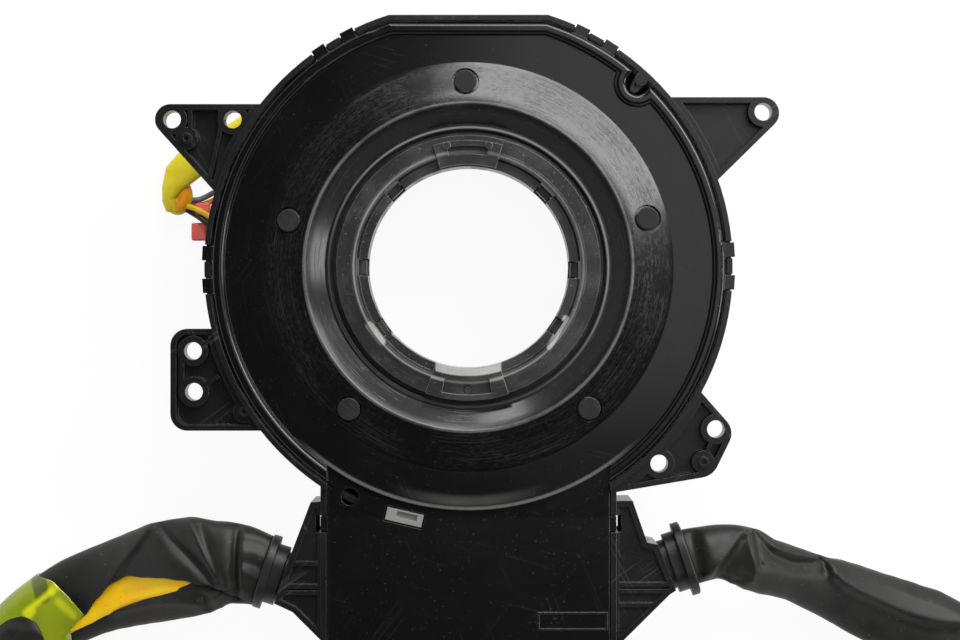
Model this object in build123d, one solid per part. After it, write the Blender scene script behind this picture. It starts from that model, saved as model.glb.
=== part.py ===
from build123d import *
from math import atan2, cos, degrees, hypot, pi, radians, sin, tan
import os

# Steering clock spring, in millimetres, lying on its front side.
# X is to the right and Y is up as seen from the steering column, and +Z points to the column.
# The origin is on the shaft's axis, in the plane where the ears meet the column bracket.

os.makedirs("parts", exist_ok=True)

# Round case: a thin wall with a flat top, and a ledge that closes its front round the turning disc
case_r = 58.2
case_wall = 1.2
case_rear_z = 1.4
case_front_z = -19.5
front_floor_t = 1.6
ledge_w = 2.9
flat_margin = 0.2

# Ears with their screw holes, and small tubular bosses on round pads
ear_t = 5.0
ear_rim = 1.3
ear_pocket_depth = 3.0
hole_d = 3.9
hole_pad_w = 1.4
rib_t = 0.9
boss_d = 2.3
boss_bore_d = 1.2
boss_h = 1.2
boss_pad_d = 5.0

# Bore, and the rotor's hub round it
bore_r = 22.2
skirt_t = 1.7
skirt_depth = 9.0
skirt_rear_z = 1.0
fit_gap = 0.2
hub_wall = 4.5
disc_gap = 0.5
disc_t = 1.6
collar_wall = 5.9
collar_front_z = -36.0
rotor_rib_count = 8
rotor_rib_h = 2.0
drive_pin_d = 6.0
drive_pin_ring_r = 40.0
drive_pin_angles = (35.0, 215.0)
drive_pin_end_z = -31.0
drive_pin_chamfer = 0.8
foot_angle = 305.0
foot_in = (9.6, 3.6)
foot_half_deg = 12.0
tower_in = 10.55
tower_angle = 120.74
tower_heading = 172.0
tower_size = (18.0, 11.0)
tower_corner_r = 1.5
tower_lift = 2.5
cap_t = 2.0
inner_block_angle = 100.0
inner_block_half_deg = 10.0
inner_block_t = 3.2
inner_block_h = 12.0

# Cancelling ring on the hub's rear end, held by hooks in notches of its skirt
ring_t = 2.0
ring_rear_z = 1.8
ring_lap = 1.0
ring_edge = 0.6
rim_w = 1.8
rim_h = 0.8
hook_angles = (44.5, 134.0, 180.0, 215.0, 326.0, 358.5)
hook_w = 3.2
hook_h = 3.6
hook_chamfer = 0.9
hook_gap = 0.3
hook_notch_depth = 6.6
lug_floor = 1.0
lug_setback = 0.3
post_d = 1.6
post_h = 0.5
top_lug = {"angle": 90.3, "half_deg": 15.8, "reach": 5.6, "h": 1.8, "pocket_half_deg": 9.8}
bottom_lug = {"angle": 269.3, "half_deg": 18.2, "reach": 7.1, "h": 1.3, "pocket_half_deg": 11.3}
lug_pocket_in = 2.6
lug_pocket_rim = 1.2

# Rear cover: lip round the ring, funnel up to the crest, cone down to a flat ring, rolled bead
ring_gap = 0.7
lip_w = 1.3
funnel_w = 4.4
cone_share = 0.517
cone_h = 3.8
throat_drop = 3.0
cover_gap = 0.4
cover_t = 1.8
cover_z = 0.4
bead_w = 2.8
bead_h = 1.3
bead_round = 1.1
snap_w = 3.2
snap_reach = 0.5
snap_root = 1.0
snap_rise = 0.6
snap_clearance = 0.3
snap_pair_angles = (60.75, 121.0, 180.5, 0.25)
snap_pair_pitch = 7.1
snap_step = 0.8

# Studs on the cone
stud_d = 5.0
stud_h = 0.4
stud_ring_w = 0.5
stud_ring_depth = 0.6
stud_share = 0.52
stud_angles = (15.1, 91.0, 165.5, 229.9, 310.5)

# Stake in a notch of the cover's rim
stake_angle = 47.4
stake_in = 0.8
stake_d = 3.0
notch_r = 2.4
notch_in = 1.2

# Lower box and its plate
box_w = 65.4
box_wall = 1.3
box_reach = 29.8
box_corner_r = 3.0
box_neck_in = 18.2
plate_step = 1.0
plate_t = 1.6
plate_gap = 0.25
plate_arc_in = 3.4
plate_lap = 1.5
port_d = 3.9
port_angle = 242.7
frame_size = (15.5, 4.0)
frame_from_corner = (9.7, 9.8)
frame_line = 0.4
frame_h = 0.25
joint_block_size = (18.0, 12.0, 9.0)
joint_block_x = 16.0
joint_block_from_end = 18.0

# Light grey clip where the flat cable leaves the round case
clip_size = (8.2, 2.8)
clip_angle = 255.6
clip_turn = -13.0
clip_clearance = 0.35
clip_window = (4.6, 1.3, 1.2)
clip_window_off = (0.5, 0.35)
gate_depth = 9.0

# Wings beside the box and their outlets, measured from the box's side and the round case's lowest point
wing_front_step = 1.9
wing_rear_step = 0.3
wing_skin = 1.3
wing_recess = 1.1
wing_gate_y = -11.3
wing_gate_w = 14.0
tab_y = 1.5
tab_slot = (1.2, 3.8)
left_wing = {
    "side": -1,
    "outline": [(-0.7, 6.5), (2.2, 6.3), (7.2, -6.9), (10.3, -16.1), (6.2, -18.0), (-0.7, -24.9)],
    "ribs": (-7.3, -12.3, -13.7),
    "outlet": {"out": 12.6, "y": -9.9, "angle": 162.3, "wall_at": 4.2},
}
right_wing = {
    "side": 1,
    "outline": [(-0.7, 6.6), (3.6, 6.6), (6.8, -2.6), (9.2, -3.1), (13.2, -13.2), (11.7, -14.2), (-0.7, -26.5)],
    "ribs": (-11.9, -13.4, -16.4),
    "outlet": {"out": 15.95, "y": -7.0, "angle": 18.1, "wall_at": 4.85},
}

# Grommets in the outlets, width and height of each oval
flange_size = (16.9, 12.4)
flange_t = 1.9
flange_round = 0.5
collar_size = (13.6, 9.6)
collar_t = 2.6
neck_size = (11.4, 7.6)
grommet_bore = (8.4, 4.6)
grommet_end_t = 1.3
inner_lip_size = (12.9, 9.0)
inner_lip_t = 1.1
neck_clearance = 0.25
lip_gap = 0.6

# Flat cable and the sheets that it slides on
cable_t = 0.4
cable_turns = 4
cable_from_hub = 4.4
cable_from_edge = 1.0
sheet_t = 0.3

# Sleeves, leads and plugs
sleeve_d = 13.0
tube_d = 5.0
wire_d = 1.3
leads_length = 14.0
sleeve_exit_run = 10.3
tube_exit_run = 7.0
tube_exit_z = -27.5
left_plug = {
    "size": (24.0, 17.0, 12.5), "corner": 1.5, "nose": (7.2, 0.8), "latch": (14.5, 6.6, 1.3),
    "way_counts": (4, 2), "pitch": 3.4,
}
right_plug = {
    "size": (22.0, 20.0, 11.5), "corner": 1.4, "nose": (6.6, 0.8), "latch": (13.5, 7.6, 1.2),
    "way_counts": (5, 2), "pitch": 3.4,
}
red_plug = {
    "size": (12.6, 7.4, 3.5), "corner": 0.4, "nose": (3.8, 0.4), "latch": (7.6, 3.0, 0.35),
    "way_counts": (2, 1), "pitch": 3.0,
}
squib_plug = {
    "size": (12.0, 9.0, 5.5), "corner": 0.6, "nose": (3.6, 0.5), "latch": (7.2, 3.6, 0.5),
    "way_counts": (2, 1), "pitch": 3.0,
}
red_plug_at = (-19.29, -27.75)
red_plug_heading = 180.0
squib_plug_at = (-13.59, -49.75)
squib_plug_heading = 262.0

# Routes of the cords, chosen by hand: they drop to the floor and lie on it. The sleeves' are measured from
# their outlets, and those of the tube, its wires and their plugs from the lead tower's mouth
floor_z = collar_front_z
sleeve_z = floor_z + sleeve_d / 2
tube_z = floor_z + tube_d / 2
wire_z = floor_z + wire_d / 2
red_plug_z = floor_z + red_plug["size"][2] / 2
squib_plug_z = floor_z + squib_plug["size"][2] / 2
left_route = [
    (-21.7, 2.1, -13.8),
    (-32.7, -1.9, -21.5),
    (-43.3, -6.3, -27.4),
    (-54.2, -11.1, sleeve_z),
    (-63.4, -18.0, sleeve_z),
    (-69.6, -27.7, sleeve_z),
    (-72.4, -39.1, sleeve_z),
    (-72.6, -51.1, sleeve_z),
    (-71.3, -63.1, sleeve_z),
]
right_route = [
    (21.55, 1.4, -13.8),
    (32.15, -4.0, -21.5),
    (42.75, -9.6, -27.4),
    (54.35, -15.1, sleeve_z),
    (64.75, -21.7, sleeve_z),
    (72.15, -31.4, sleeve_z),
    (75.95, -43.0, sleeve_z),
    (76.65, -55.2, sleeve_z),
    (75.55, -67.4, sleeve_z),
]
tube_route = [
    (-14.39, -0.15, -30.4),
    (-21.09, -3.35, tube_z),
    (-27.69, -7.25, tube_z),
    (-34.49, -10.55, tube_z),
    (-40.29, -14.15, tube_z),
    (-41.69, -17.75, tube_z),
    (-40.69, -21.45, tube_z),
    (-37.69, -23.65, tube_z),
    (-33.89, -23.65, tube_z),
]
wire_routes = {
    "yellow_wire": [
        (-33.49, -23.65, -32.25),
        (-31.29, -24.75, -31.0),
        (-27.69, -27.05, -30.6),
        (-23.69, -30.25, -30.6),
        (-19.99, -33.45, -31.3),
        (-15.99, -36.75, -32.7),
        (-11.69, -46.99, squib_plug_z),
        (-12.11, -49.96, squib_plug_z),
    ],
    "black_wire": [
        (-33.49, -25.1, -32.75),
        (-31.49, -26.45, -31.3),
        (-28.89, -28.75, -30.7),
        (-25.39, -31.05, -30.7),
        (-22.09, -33.65, -31.4),
        (-18.49, -36.81, -32.7),
        (-14.66, -46.57, squib_plug_z),
        (-15.08, -49.54, squib_plug_z),
    ],
    "grey_wire": [
        (-33.49, -22.05, -34.0),
        (-31.29, -20.95, -34.8),
        (-27.69, -18.75, wire_z),
        (-23.29, -16.65, wire_z),
        (-18.69, -15.45, wire_z),
        (-13.89, -15.65, wire_z),
        (-9.89, -19.65, wire_z),
        (-9.89, -25.25, wire_z),
        (-13.89, -29.25, red_plug_z),
        (-19.29, -29.25, red_plug_z),
    ],
    "orange_wire": [
        (-33.49, -23.35, -35.0),
        (-31.39, -22.55, -35.3),
        (-27.59, -20.65, wire_z),
        (-22.99, -18.75, wire_z),
        (-18.89, -17.55, wire_z),
        (-14.89, -17.65, wire_z),
        (-12.39, -20.15, wire_z),
        (-12.39, -23.75, wire_z),
        (-14.89, -26.25, red_plug_z),
        (-19.29, -26.25, red_plug_z),
    ],
}

# Ears, each measured from the point of the case wall at its angle
ears = [
    {
        "angle": 150.0,
        "points": [(-23.0, 6.9), (20.4, 6.9), (4.2, -23.3)],
        "radii": [3.4, 0, 0],
        "holes": [(-15.0, 3.5), (-1.6, 3.5)],
        "bosses": [(-11.7, -0.7)],
        "ribs": [((-4.4, 6.9), (-4.2, 0.9)), ((-4.3, 1.3), (-7.1, -11.1)), ((-11.0, 6.9), (-11.0, -0.1))],
    },
    {
        "angle": 28.0,
        "points": [(22.2, 10.2), (-7.3, -18.8), (-17.9, 10.2)],
        "radii": [3.5, 0, 0],
        "holes": [(13.66, 6.98)],
        "bosses": [],
        "ribs": [],
    },
    {
        "angle": 204.0,
        "points": [(-12.6, 10.1), (9.2, 10.1), (17.2, -12.4), (-12.6, -12.4)],
        "radii": [3.75, 0, 0, 3.75],
        "holes": [(-7.6, 5.2), (-7.4, -3.8)],
        "bosses": [(3.7, -8.2)],
        "ribs": [((-10.0, 3.7), (-10.0, -2.3)), ((-7.4, -3.8), (-1.8, -0.3)), ((-7.6, 5.2), (-1.3, 9.2))],
    },
    {
        "angle": 320.0,
        "points": [(0.1, 17.4), (-16.6, -2.6), (-16.6, -13.0), (9.3, -8.6), (14.2, 1.4)],
        "radii": [0, 0, 0, 4.5, 4.0],
        "holes": [(10.0, 1.7), (-2.5, -5.9)],
        "bosses": [(7.2, -5.5)],
        "ribs": [((-2.5, -5.9), (-8.6, -10.1)), ((7.2, -5.5), (10.0, 1.7))],
    },
]

# Radii and lengths that follow from the sizes above, from the bore outwards and from the case wall inwards
skirt_r = bore_r + skirt_t
hub_in_r = skirt_r + fit_gap
hub_r = hub_in_r + hub_wall
collar_r = hub_in_r + collar_wall
ring_r = hub_r + ring_lap
rim_r = hub_in_r + rim_w
lip_r = ring_r + ring_gap
throat_r = lip_r + lip_w
crest_r = throat_r + funnel_w
case_in_r = case_r - case_wall
ledge_r = case_in_r - ledge_w
disc_r = ledge_r - disc_gap
case_in_flat = ledge_r + flat_margin
case_flat = case_in_flat + case_wall
cover_r = case_in_r - cover_gap
cover_flat = case_in_flat - cover_gap
cone_w = cone_share * (cover_r - bead_w - crest_r)
cone_r = crest_r + cone_w
stud_ring_r = crest_r + stud_share * cone_w
plate_arc_r = case_in_r - plate_arc_in
plate_half = box_w / 2 - box_wall - plate_gap
box_end_y = -case_r - box_reach
box_neck_y = box_neck_in - case_r
cable_inner_r = hub_r + cable_from_hub
cable_outer_r = disc_r - cable_from_edge

# Heights that follow
floor_top_z = case_front_z + front_floor_t
disc_rear_z = case_front_z + disc_t
hub_rear_z = ring_rear_z - ring_t
cover_under_z = cover_z - cover_t
crest_z = cover_z + cone_h
throat_z = crest_z - throat_drop
plate_z = cover_z - plate_step
plate_under_z = plate_z - plate_t
wing_front_z = case_front_z + wing_front_step
wing_rear_z = plate_z - wing_rear_step
outlet_z = (wing_front_z + wing_rear_z) / 2
tower_end_z = collar_front_z + tower_lift

pieces = {}


def save(name, shape):
    pieces[name] = shape


def slab(sketch, z0, z1):
    """A sketch drawn out between two heights."""
    return Pos(0, 0, z0) * extrude(sketch, z1 - z0)


def disc(r, z0, z1):
    return slab(Circle(r), z0, z1)


def pipe(r_out, r_in, z0, z1):
    return disc(r_out, z0, z1) - disc(r_in, z0 - 1, z1 + 1)


def through(sketch):
    """A cut along Z through everything."""
    return slab(sketch, 2 * collar_front_z, -2 * collar_front_z)


def polar(r, angle):
    return (r * cos(radians(angle)), r * sin(radians(angle)))


def outline(*points):
    return make_face(Polyline(*points, close=True))


def rounded_outline(points, radii):
    """A polygon whose corners have the given radii, 0 for a sharp one."""
    face = outline(*points)
    for point, radius in zip(points, radii):
        if radius:
            corner = face.vertices().sort_by_distance((*point, 0))[0]
            face = fillet(corner, radius)
    return face


def round_plate(r, flat_y):
    """A disc cut straight along its top."""
    return Circle(r) & Pos(0, flat_y - 2 * r) * Rectangle(4 * r, 4 * r)


def bar(p, q, width):
    """A straight strip between two points."""
    length = hypot(q[0] - p[0], q[1] - p[1])
    angle = degrees(atan2(q[1] - p[1], q[0] - p[0]))
    return Pos((p[0] + q[0]) / 2, (p[1] + q[1]) / 2) * Rot(0, 0, angle) * Rectangle(length, width)


def sector(r_in, r_out, angle, half_deg):
    """A flat piece of a ring, about the given angle."""
    reach = r_out / cos(radians(half_deg)) + 1
    wedge = outline((0, 0), polar(reach, angle - half_deg), polar(reach, angle + half_deg))
    return (Circle(r_out) - Circle(r_in)) & wedge


def turned(points):
    """A solid turned about the shaft's axis from a section of (radius, height) points."""
    face = make_face(Plane.XZ * Polyline(*points, close=True))
    return revolve(face, Axis.Z)


def at_angle(angle, r, shape):
    return Rot(0, 0, angle) * Pos(r, 0, 0) * shape


case_face = round_plate(case_r, case_flat)
case_hollow = round_plate(case_in_r, case_in_flat)
box_mid_y = (box_neck_y + box_end_y) / 2
box_zone = Pos(0, box_mid_y) * Rectangle(2 * plate_half, box_neck_y - box_end_y)
clip_place = Pos(*polar(case_in_r, clip_angle)) * Rot(0, 0, clip_turn)


def ear(spec):
    """An ear: a plate with a rim round a pocket, pads round its holes, and ribs across the pocket."""
    x, y = polar(case_r, spec["angle"])
    face = rounded_outline(spec["points"], spec["radii"])
    pocket = offset(face, -ear_rim) - Pos(-x, -y) * Circle(case_r + ear_rim)
    for at in spec["holes"]:
        pocket -= Pos(*at) * Circle(hole_d / 2 + hole_pad_w)
    for at in spec["bosses"]:
        pocket -= Pos(*at) * Circle(boss_pad_d / 2)
    for p, q in spec["ribs"]:
        pocket -= bar(p, q, rib_t)
    body = slab(face, -ear_t, 0) - slab(pocket, -ear_pocket_depth, 1)
    for at in spec["bosses"]:
        body += Pos(*at) * pipe(boss_d / 2, boss_bore_d / 2, -ear_rim, boss_h)
    return Pos(x, y) * body


def outlet_at(wing_spec):
    """The middle of a wing's outlet, in plan."""
    outlet = wing_spec["outlet"]
    return (wing_spec["side"] * (box_w / 2 + outlet["out"]), outlet["y"] - case_r)


def outlet_place(wing_spec):
    """The place of an outlet: its third axis points out, its first axis lies along the flange."""
    a = radians(wing_spec["outlet"]["angle"])
    out = (cos(a), sin(a), 0)
    return Plane(origin=(*outlet_at(wing_spec), outlet_z), x_dir=(-sin(a), cos(a), 0), z_dir=out).location


def oval(size, t0, t1):
    return slab(SlotOverall(*size), t0, t1)


def grown(size):
    """An oval's size with the grommet's clearance all round."""
    return (size[0] + 2 * neck_clearance, size[1] + 2 * neck_clearance)


def grommet_wall_in(wing_spec):
    """Distance from the flange to the inner face of the wing's wall."""
    return wing_spec["outlet"]["wall_at"] + wing_skin + lip_gap


def wing(spec):
    """A hollow wing that leads the wires from the box to the outlet."""
    side = spec["side"]
    face = outline(*[(side * (box_w / 2 + x), y - case_r) for x, y in spec["outline"]])
    rear_skin_z = wing_rear_z - wing_recess
    shell = slab(face, wing_front_z, wing_rear_z)
    shell -= slab(offset(face, -wing_skin), wing_front_z + wing_skin, rear_skin_z - wing_skin)
    recess = offset(face, -wing_skin)
    for y in spec["ribs"]:
        recess -= Pos(side * box_w / 2, y - case_r) * Rectangle(box_w, rib_t)
    shell -= slab(recess, rear_skin_z, wing_rear_z + 1)
    shell -= through(Pos(side * (box_w + tab_slot[0]) / 2, tab_y - case_r) * Rectangle(*tab_slot))
    # Room for the grommet: its neck in the wall, its lip inside and its collar outside
    wall_in = grommet_wall_in(spec)
    room = oval(grown(neck_size), -wall_in, 0)
    room += oval(grown(inner_lip_size), -wall_in - inner_lip_t - neck_clearance, -wall_in + neck_clearance)
    room += oval(grown(collar_size), -flange_t / 2 - collar_t - neck_clearance, flange_t)
    return shell - outlet_place(spec) * room


def grommet(wing_spec):
    """An oval outlet collar: flange outside, neck in the wing's wall, lip inside it."""
    wall_in = grommet_wall_in(wing_spec)
    half = flange_t / 2
    body = oval(flange_size, -half, half)
    body += oval(collar_size, -half - collar_t, -half)
    body += oval(neck_size, -wall_in - inner_lip_t, -half - collar_t)
    body += oval(inner_lip_size, -wall_in - inner_lip_t, -wall_in)
    body -= oval(grommet_bore, -wall_in - 2 * inner_lip_t, half - grommet_end_t)
    rims = body.edges().filter_by(Plane.XY).group_by(Axis.Z)[-1]
    body = fillet(rims, flange_round)
    return outlet_place(wing_spec) * body


def snap_angles():
    """The angles of the snap lugs, which stand in pairs."""
    return [a + side * snap_pair_pitch / 2 for a in snap_pair_angles for side in (-1, 1)]


def stator_case():
    """The moulded case: round wall, front ledge, box, wings and ears in one piece."""
    box_face = Pos(0, box_mid_y) * Rectangle(box_w, box_neck_y - box_end_y)
    box_face = fillet(box_face.vertices().group_by(Axis.Y)[0], box_corner_r)
    box_hollow = offset(box_face, -box_wall)
    body = slab(case_face - case_hollow, case_front_z, case_rear_z)
    body += slab(box_face - case_hollow, case_front_z, plate_z) - slab(box_hollow, floor_top_z, plate_z + 1)
    for spec in (left_wing, right_wing):
        body += wing(spec) - through(box_hollow)
    for spec in ears:
        body += ear(spec) - through(case_hollow) - through(box_hollow)
    body += slab(case_hollow - Circle(ledge_r), case_front_z, floor_top_z)
    # The round wall stands lower under the box plate, and opens where the flat cable leaves
    body -= slab(box_zone, plate_under_z - plate_gap, case_rear_z + 1)
    gate = clip_place * Rectangle(clip_size[0] + 2 * clip_clearance, gate_depth)
    body -= slab(gate, floor_top_z, case_rear_z + 1)
    # Openings in the box's sides: towards the outlets, and for the cover's tabs
    for side in (-1, 1):
        opening = Pos(side * box_w / 2, wing_gate_y - case_r) * Rectangle(4 * box_wall, wing_gate_w)
        body -= slab(opening, wing_front_z + 2 * wing_skin, wing_rear_z - wing_recess - 2 * wing_skin)
        opening = Pos(side * (box_w - box_wall) / 2, tab_y - case_r) * Rectangle(2 * box_wall, tab_slot[1])
        body -= slab(opening, plate_under_z - box_wall, plate_z + 1)
    # Slots for the cover's snap lugs
    for angle in snap_angles():
        slot = Rectangle(4 * case_wall, snap_w + 2 * snap_clearance)
        body -= at_angle(angle, case_r, slab(slot, cover_under_z - snap_clearance, case_rear_z + 1))
    # The wall steps down between the lugs of a pair
    for angle in snap_pair_angles:
        step = Rectangle(4 * case_wall, 2 * case_r * sin(radians(snap_pair_pitch / 2)) - snap_w)
        body -= at_angle(angle, case_r, slab(step, case_rear_z - snap_step, case_rear_z + 1))
    body += Pos(*polar(case_in_r - stake_in, stake_angle)) * disc(stake_d / 2, case_front_z, case_rear_z)
    # Screw holes through the ears
    for spec in ears:
        for at in spec["holes"]:
            hole = Pos(*polar(case_r, spec["angle"])) * Pos(*at) * Circle(hole_d / 2)
            body -= slab(hole, -2 * ear_t, ear_t)
    return body


def cone_height(r):
    """Height of the cone's rear face at a radius between its crest and its foot."""
    return cover_z + cone_h * (cone_r - r) / cone_w


def above_cone(depth):
    """All the room above a surface that lies the given depth under the cone's rear face."""
    return turned([
        (crest_r, crest_z - depth), (cone_r, cover_z - depth), (cone_r, crest_z + cone_h), (crest_r, crest_z + cone_h)
    ])


def rear_cover():
    """The rear cover: turned form, rolled rim, studs, snap lugs and the box plate in one piece."""
    drop = cover_t * hypot(1, cone_h / cone_w)
    inner_drop = cover_t * hypot(1, throat_drop / funnel_w)
    form = turned([
        (lip_r, throat_z),
        (throat_r, throat_z),
        (crest_r, crest_z),
        (cone_r, cover_z),
        (cover_r, cover_z),
        (cover_r, cover_under_z),
        (cone_r - 0.2 * cover_t, cover_under_z),
        (crest_r, crest_z - max(drop, inner_drop)),
        (throat_r + 0.2 * cover_t, throat_z - cover_t),
        (lip_r, throat_z - cover_t),
    ])
    notch_at = case_in_r - stake_in - notch_in
    notch = Pos(*polar(notch_at, stake_angle)) * Circle(notch_r)
    mouth = at_angle(stake_angle, notch_at + notch_r, Rectangle(2 * notch_r, 2 * notch_r))
    face = round_plate(cover_r, cover_flat) - notch - mouth
    body = form & through(face - (box_zone - Circle(plate_arc_r)))
    bead = slab(face - offset(face, -bead_w), cover_z - cover_t / 2, cover_z + bead_h)
    bead = fillet(bead.edges().group_by(Axis.Z)[-1], bead_round)
    body += bead - through(box_zone)
    # Box plate, with its slot, port and empty raised frame
    plate_end = box_end_y + box_wall + plate_gap
    plate_face = Pos(0, (box_neck_y + plate_end) / 2) * Rectangle(2 * plate_half, box_neck_y - plate_end)
    plate_face = fillet(plate_face.vertices().group_by(Axis.Y)[0], box_corner_r - box_wall)
    body += slab(plate_face - Circle(plate_arc_r - plate_lap), plate_under_z, plate_z)
    body -= through(clip_place * Rectangle(*[s + 2 * clip_clearance for s in clip_size]))
    body -= through(Pos(*polar(case_in_r, port_angle)) * Circle(port_d / 2))
    frame_at = (box_w / 2 - frame_from_corner[0], box_end_y + frame_from_corner[1])
    frame = Rectangle(*frame_size) - Rectangle(*[s - 2 * frame_line for s in frame_size])
    body += slab(Pos(*frame_at) * frame, plate_z - frame_h, plate_z + frame_h)
    for side in (-1, 1):
        tab_reach = plate_gap + box_wall
        tab = Pos(side * plate_half, tab_y - case_r) * Rectangle(2 * tab_reach, tab_slot[1] - 2 * snap_clearance)
        body += slab(tab, plate_under_z, plate_z - plate_gap)
    # Round studs, each in a shallow ring that follows the slope
    ring_room = above_cone(stud_ring_depth)
    stud_room = above_cone(cover_t / 2)
    for angle in stud_angles:
        place = Pos(*polar(stud_ring_r, angle), cone_height(stud_ring_r))
        body -= place * pipe(stud_d / 2 + stud_ring_w, stud_d / 2, -cone_h, cone_h) & ring_room
        body += place * disc(stud_d / 2, -cone_h, stud_h) & stud_room
    # Snap lugs that stand through the case wall
    for angle in snap_angles():
        depth = case_r + snap_reach - cover_r + snap_root
        lug = Box(depth, snap_w, cover_t + snap_rise, align=(Align.MAX, Align.CENTER, Align.MIN))
        body += at_angle(angle, case_r + snap_reach, Pos(0, 0, cover_under_z) * lug)
    return body


def tower_face():
    """The outline of the lead tower, with its exit at the heading's end."""
    face = Rectangle(*tower_size)
    face = fillet(face.vertices().group_by(Axis.X)[0], tower_corner_r)
    return Pos(*polar(disc_r - tower_in, tower_angle)) * Rot(0, 0, tower_heading) * face


def rotor():
    """The rotor: front disc, hub, collar, ribs, drive pins, foot and lead tower in one piece."""
    body = disc(disc_r, case_front_z, disc_rear_z)
    body += disc(hub_r, case_front_z, hub_rear_z)
    body += disc(collar_r, collar_front_z, case_front_z)
    rib_length = disc_r - ledge_w - collar_r
    rib = Box(rib_length + 1, rib_t, rotor_rib_h, align=(Align.MIN, Align.CENTER, Align.MAX))
    for i in range(rotor_rib_count):
        body += at_angle(360 / rotor_rib_count * (i + 0.5), collar_r - 1, Pos(0, 0, case_front_z) * rib)
    for angle in drive_pin_angles:
        pin = disc(drive_pin_d / 2, drive_pin_end_z, case_front_z)
        pin = chamfer(pin.edges().group_by(Axis.Z)[0], drive_pin_chamfer)
        body += at_angle(angle, drive_pin_ring_r, pin)
    body += slab(sector(disc_r - foot_in[0], disc_r - foot_in[1], foot_angle, foot_half_deg), collar_front_z, case_front_z)
    body += slab(tower_face(), tower_end_z, case_front_z)
    body -= through(Circle(hub_in_r))
    # Hooks that snap into the notches of the ring's skirt
    reach = hub_in_r - bore_r - hook_gap
    hook = Box(reach + hub_wall / 4, hook_w, hook_h, align=(Align.MIN, Align.CENTER, Align.MAX))
    hook = chamfer(hook.edges().filter_by(Axis.Y).group_by(Axis.Z)[-1].sort_by(Axis.X)[0], hook_chamfer)
    for angle in hook_angles:
        body += at_angle(angle, hub_in_r - reach, Pos(0, 0, hub_rear_z) * hook)
    return body


def cancel_ring():
    """The ring snapped on the hub, with its skirt in the bore and the two signal lugs."""
    skirt_front_z = skirt_rear_z - skirt_depth
    body = turned([
        (bore_r, skirt_front_z),
        (bore_r, skirt_rear_z),
        (hub_in_r, skirt_rear_z),
        (hub_in_r + 0.3 * rim_w, ring_rear_z + rim_h),
        (rim_r - 0.3 * rim_w, ring_rear_z + rim_h),
        (rim_r, ring_rear_z),
        (ring_r - ring_edge, ring_rear_z),
        (ring_r, ring_rear_z - ring_edge),
        (ring_r, hub_rear_z),
        (skirt_r, hub_rear_z),
        (skirt_r, skirt_front_z),
    ])
    for lug in (top_lug, bottom_lug):
        reach_r = bore_r + lug["reach"]
        top = ring_rear_z + rim_h + lug["h"] - lug_floor
        body += slab(sector(bore_r + lug_setback, reach_r, lug["angle"], lug["half_deg"]), skirt_rear_z - lug_floor, top)
        pocket = sector(bore_r + lug_pocket_in, reach_r - lug_pocket_rim, lug["angle"], lug["pocket_half_deg"])
        body -= slab(pocket, top - lug["h"], top + 1)
    # Two round posts at the outer corners of the top lug
    post_z = ring_rear_z + rim_h + top_lug["h"] - lug_floor
    post_r = bore_r + top_lug["reach"] - post_d / 2
    for side in (-1, 1):
        post = disc(post_d / 2, ring_rear_z, post_z + post_h)
        body += at_angle(top_lug["angle"] + side * top_lug["pocket_half_deg"], post_r, post)
    notch = Rectangle(2 * (skirt_t + fit_gap), hook_w + 2 * hook_gap)
    for angle in hook_angles:
        body -= at_angle(angle, bore_r, slab(notch, skirt_rear_z - hook_notch_depth, skirt_rear_z + rim_h))
    return body


def flat_cable():
    """The flat cable, wound from half circles about two centres, so that each half turn steps out."""
    pitch = (cable_outer_r - cable_inner_r) / cable_turns
    half_turns = []
    for i in range(2 * cable_turns):
        r = cable_inner_r + pitch * (i + 0.5) / 2
        side = 1 if i % 2 == 0 else -1
        half = (Circle(r + cable_t / 2) - Circle(r - cable_t / 2)) & Pos(0, side * r) * Rectangle(4 * r, 2 * r)
        half_turns.append(Pos(-side * pitch / 4, 0) * half)
    strip = half_turns[0]
    for half in half_turns[1:]:
        strip += half
    return slab(strip, disc_rear_z + 2 * sheet_t, plate_under_z - sheet_t)


def leaving(at, heading, z, run):
    """The first two points of a cord that leaves a face straight on."""
    dx, dy = polar(run, heading)
    return [(at[0], at[1], z), (at[0] + dx, at[1] + dy, z)]


def placed(route, at):
    """A route's points, measured from the given place."""
    return [(at[0] + x, at[1] + y, z) for x, y, z in route]


def cord_path(points):
    """Straight runs joined by the largest arcs that they leave room for."""
    corners = [Vector(*p) for p in points]
    radii = []
    for a, b, c in zip(corners, corners[1:], corners[2:]):
        turn = radians((b - a).get_angle(c - b))
        radii.append(0.45 * min((b - a).length, (c - b).length) / tan(turn / 2))
    return FilletPolyline(*corners, radius=radii), radii


def cord(name, points, d):
    """A plain round cord along a route, with its bend radii and length printed."""
    path, radii = cord_path(points)
    body = sweep(Plane(origin=path @ 0, z_dir=path % 0) * Circle(d / 2), path=path)
    expected = pi * d * d / 4 * path.length
    print(name, "length", round(path.length, 1), "radii", [round(r, 1) for r in radii],
          "volume over section times length", round(body.volume / expected, 4))
    save(name, body)
    return path


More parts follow.
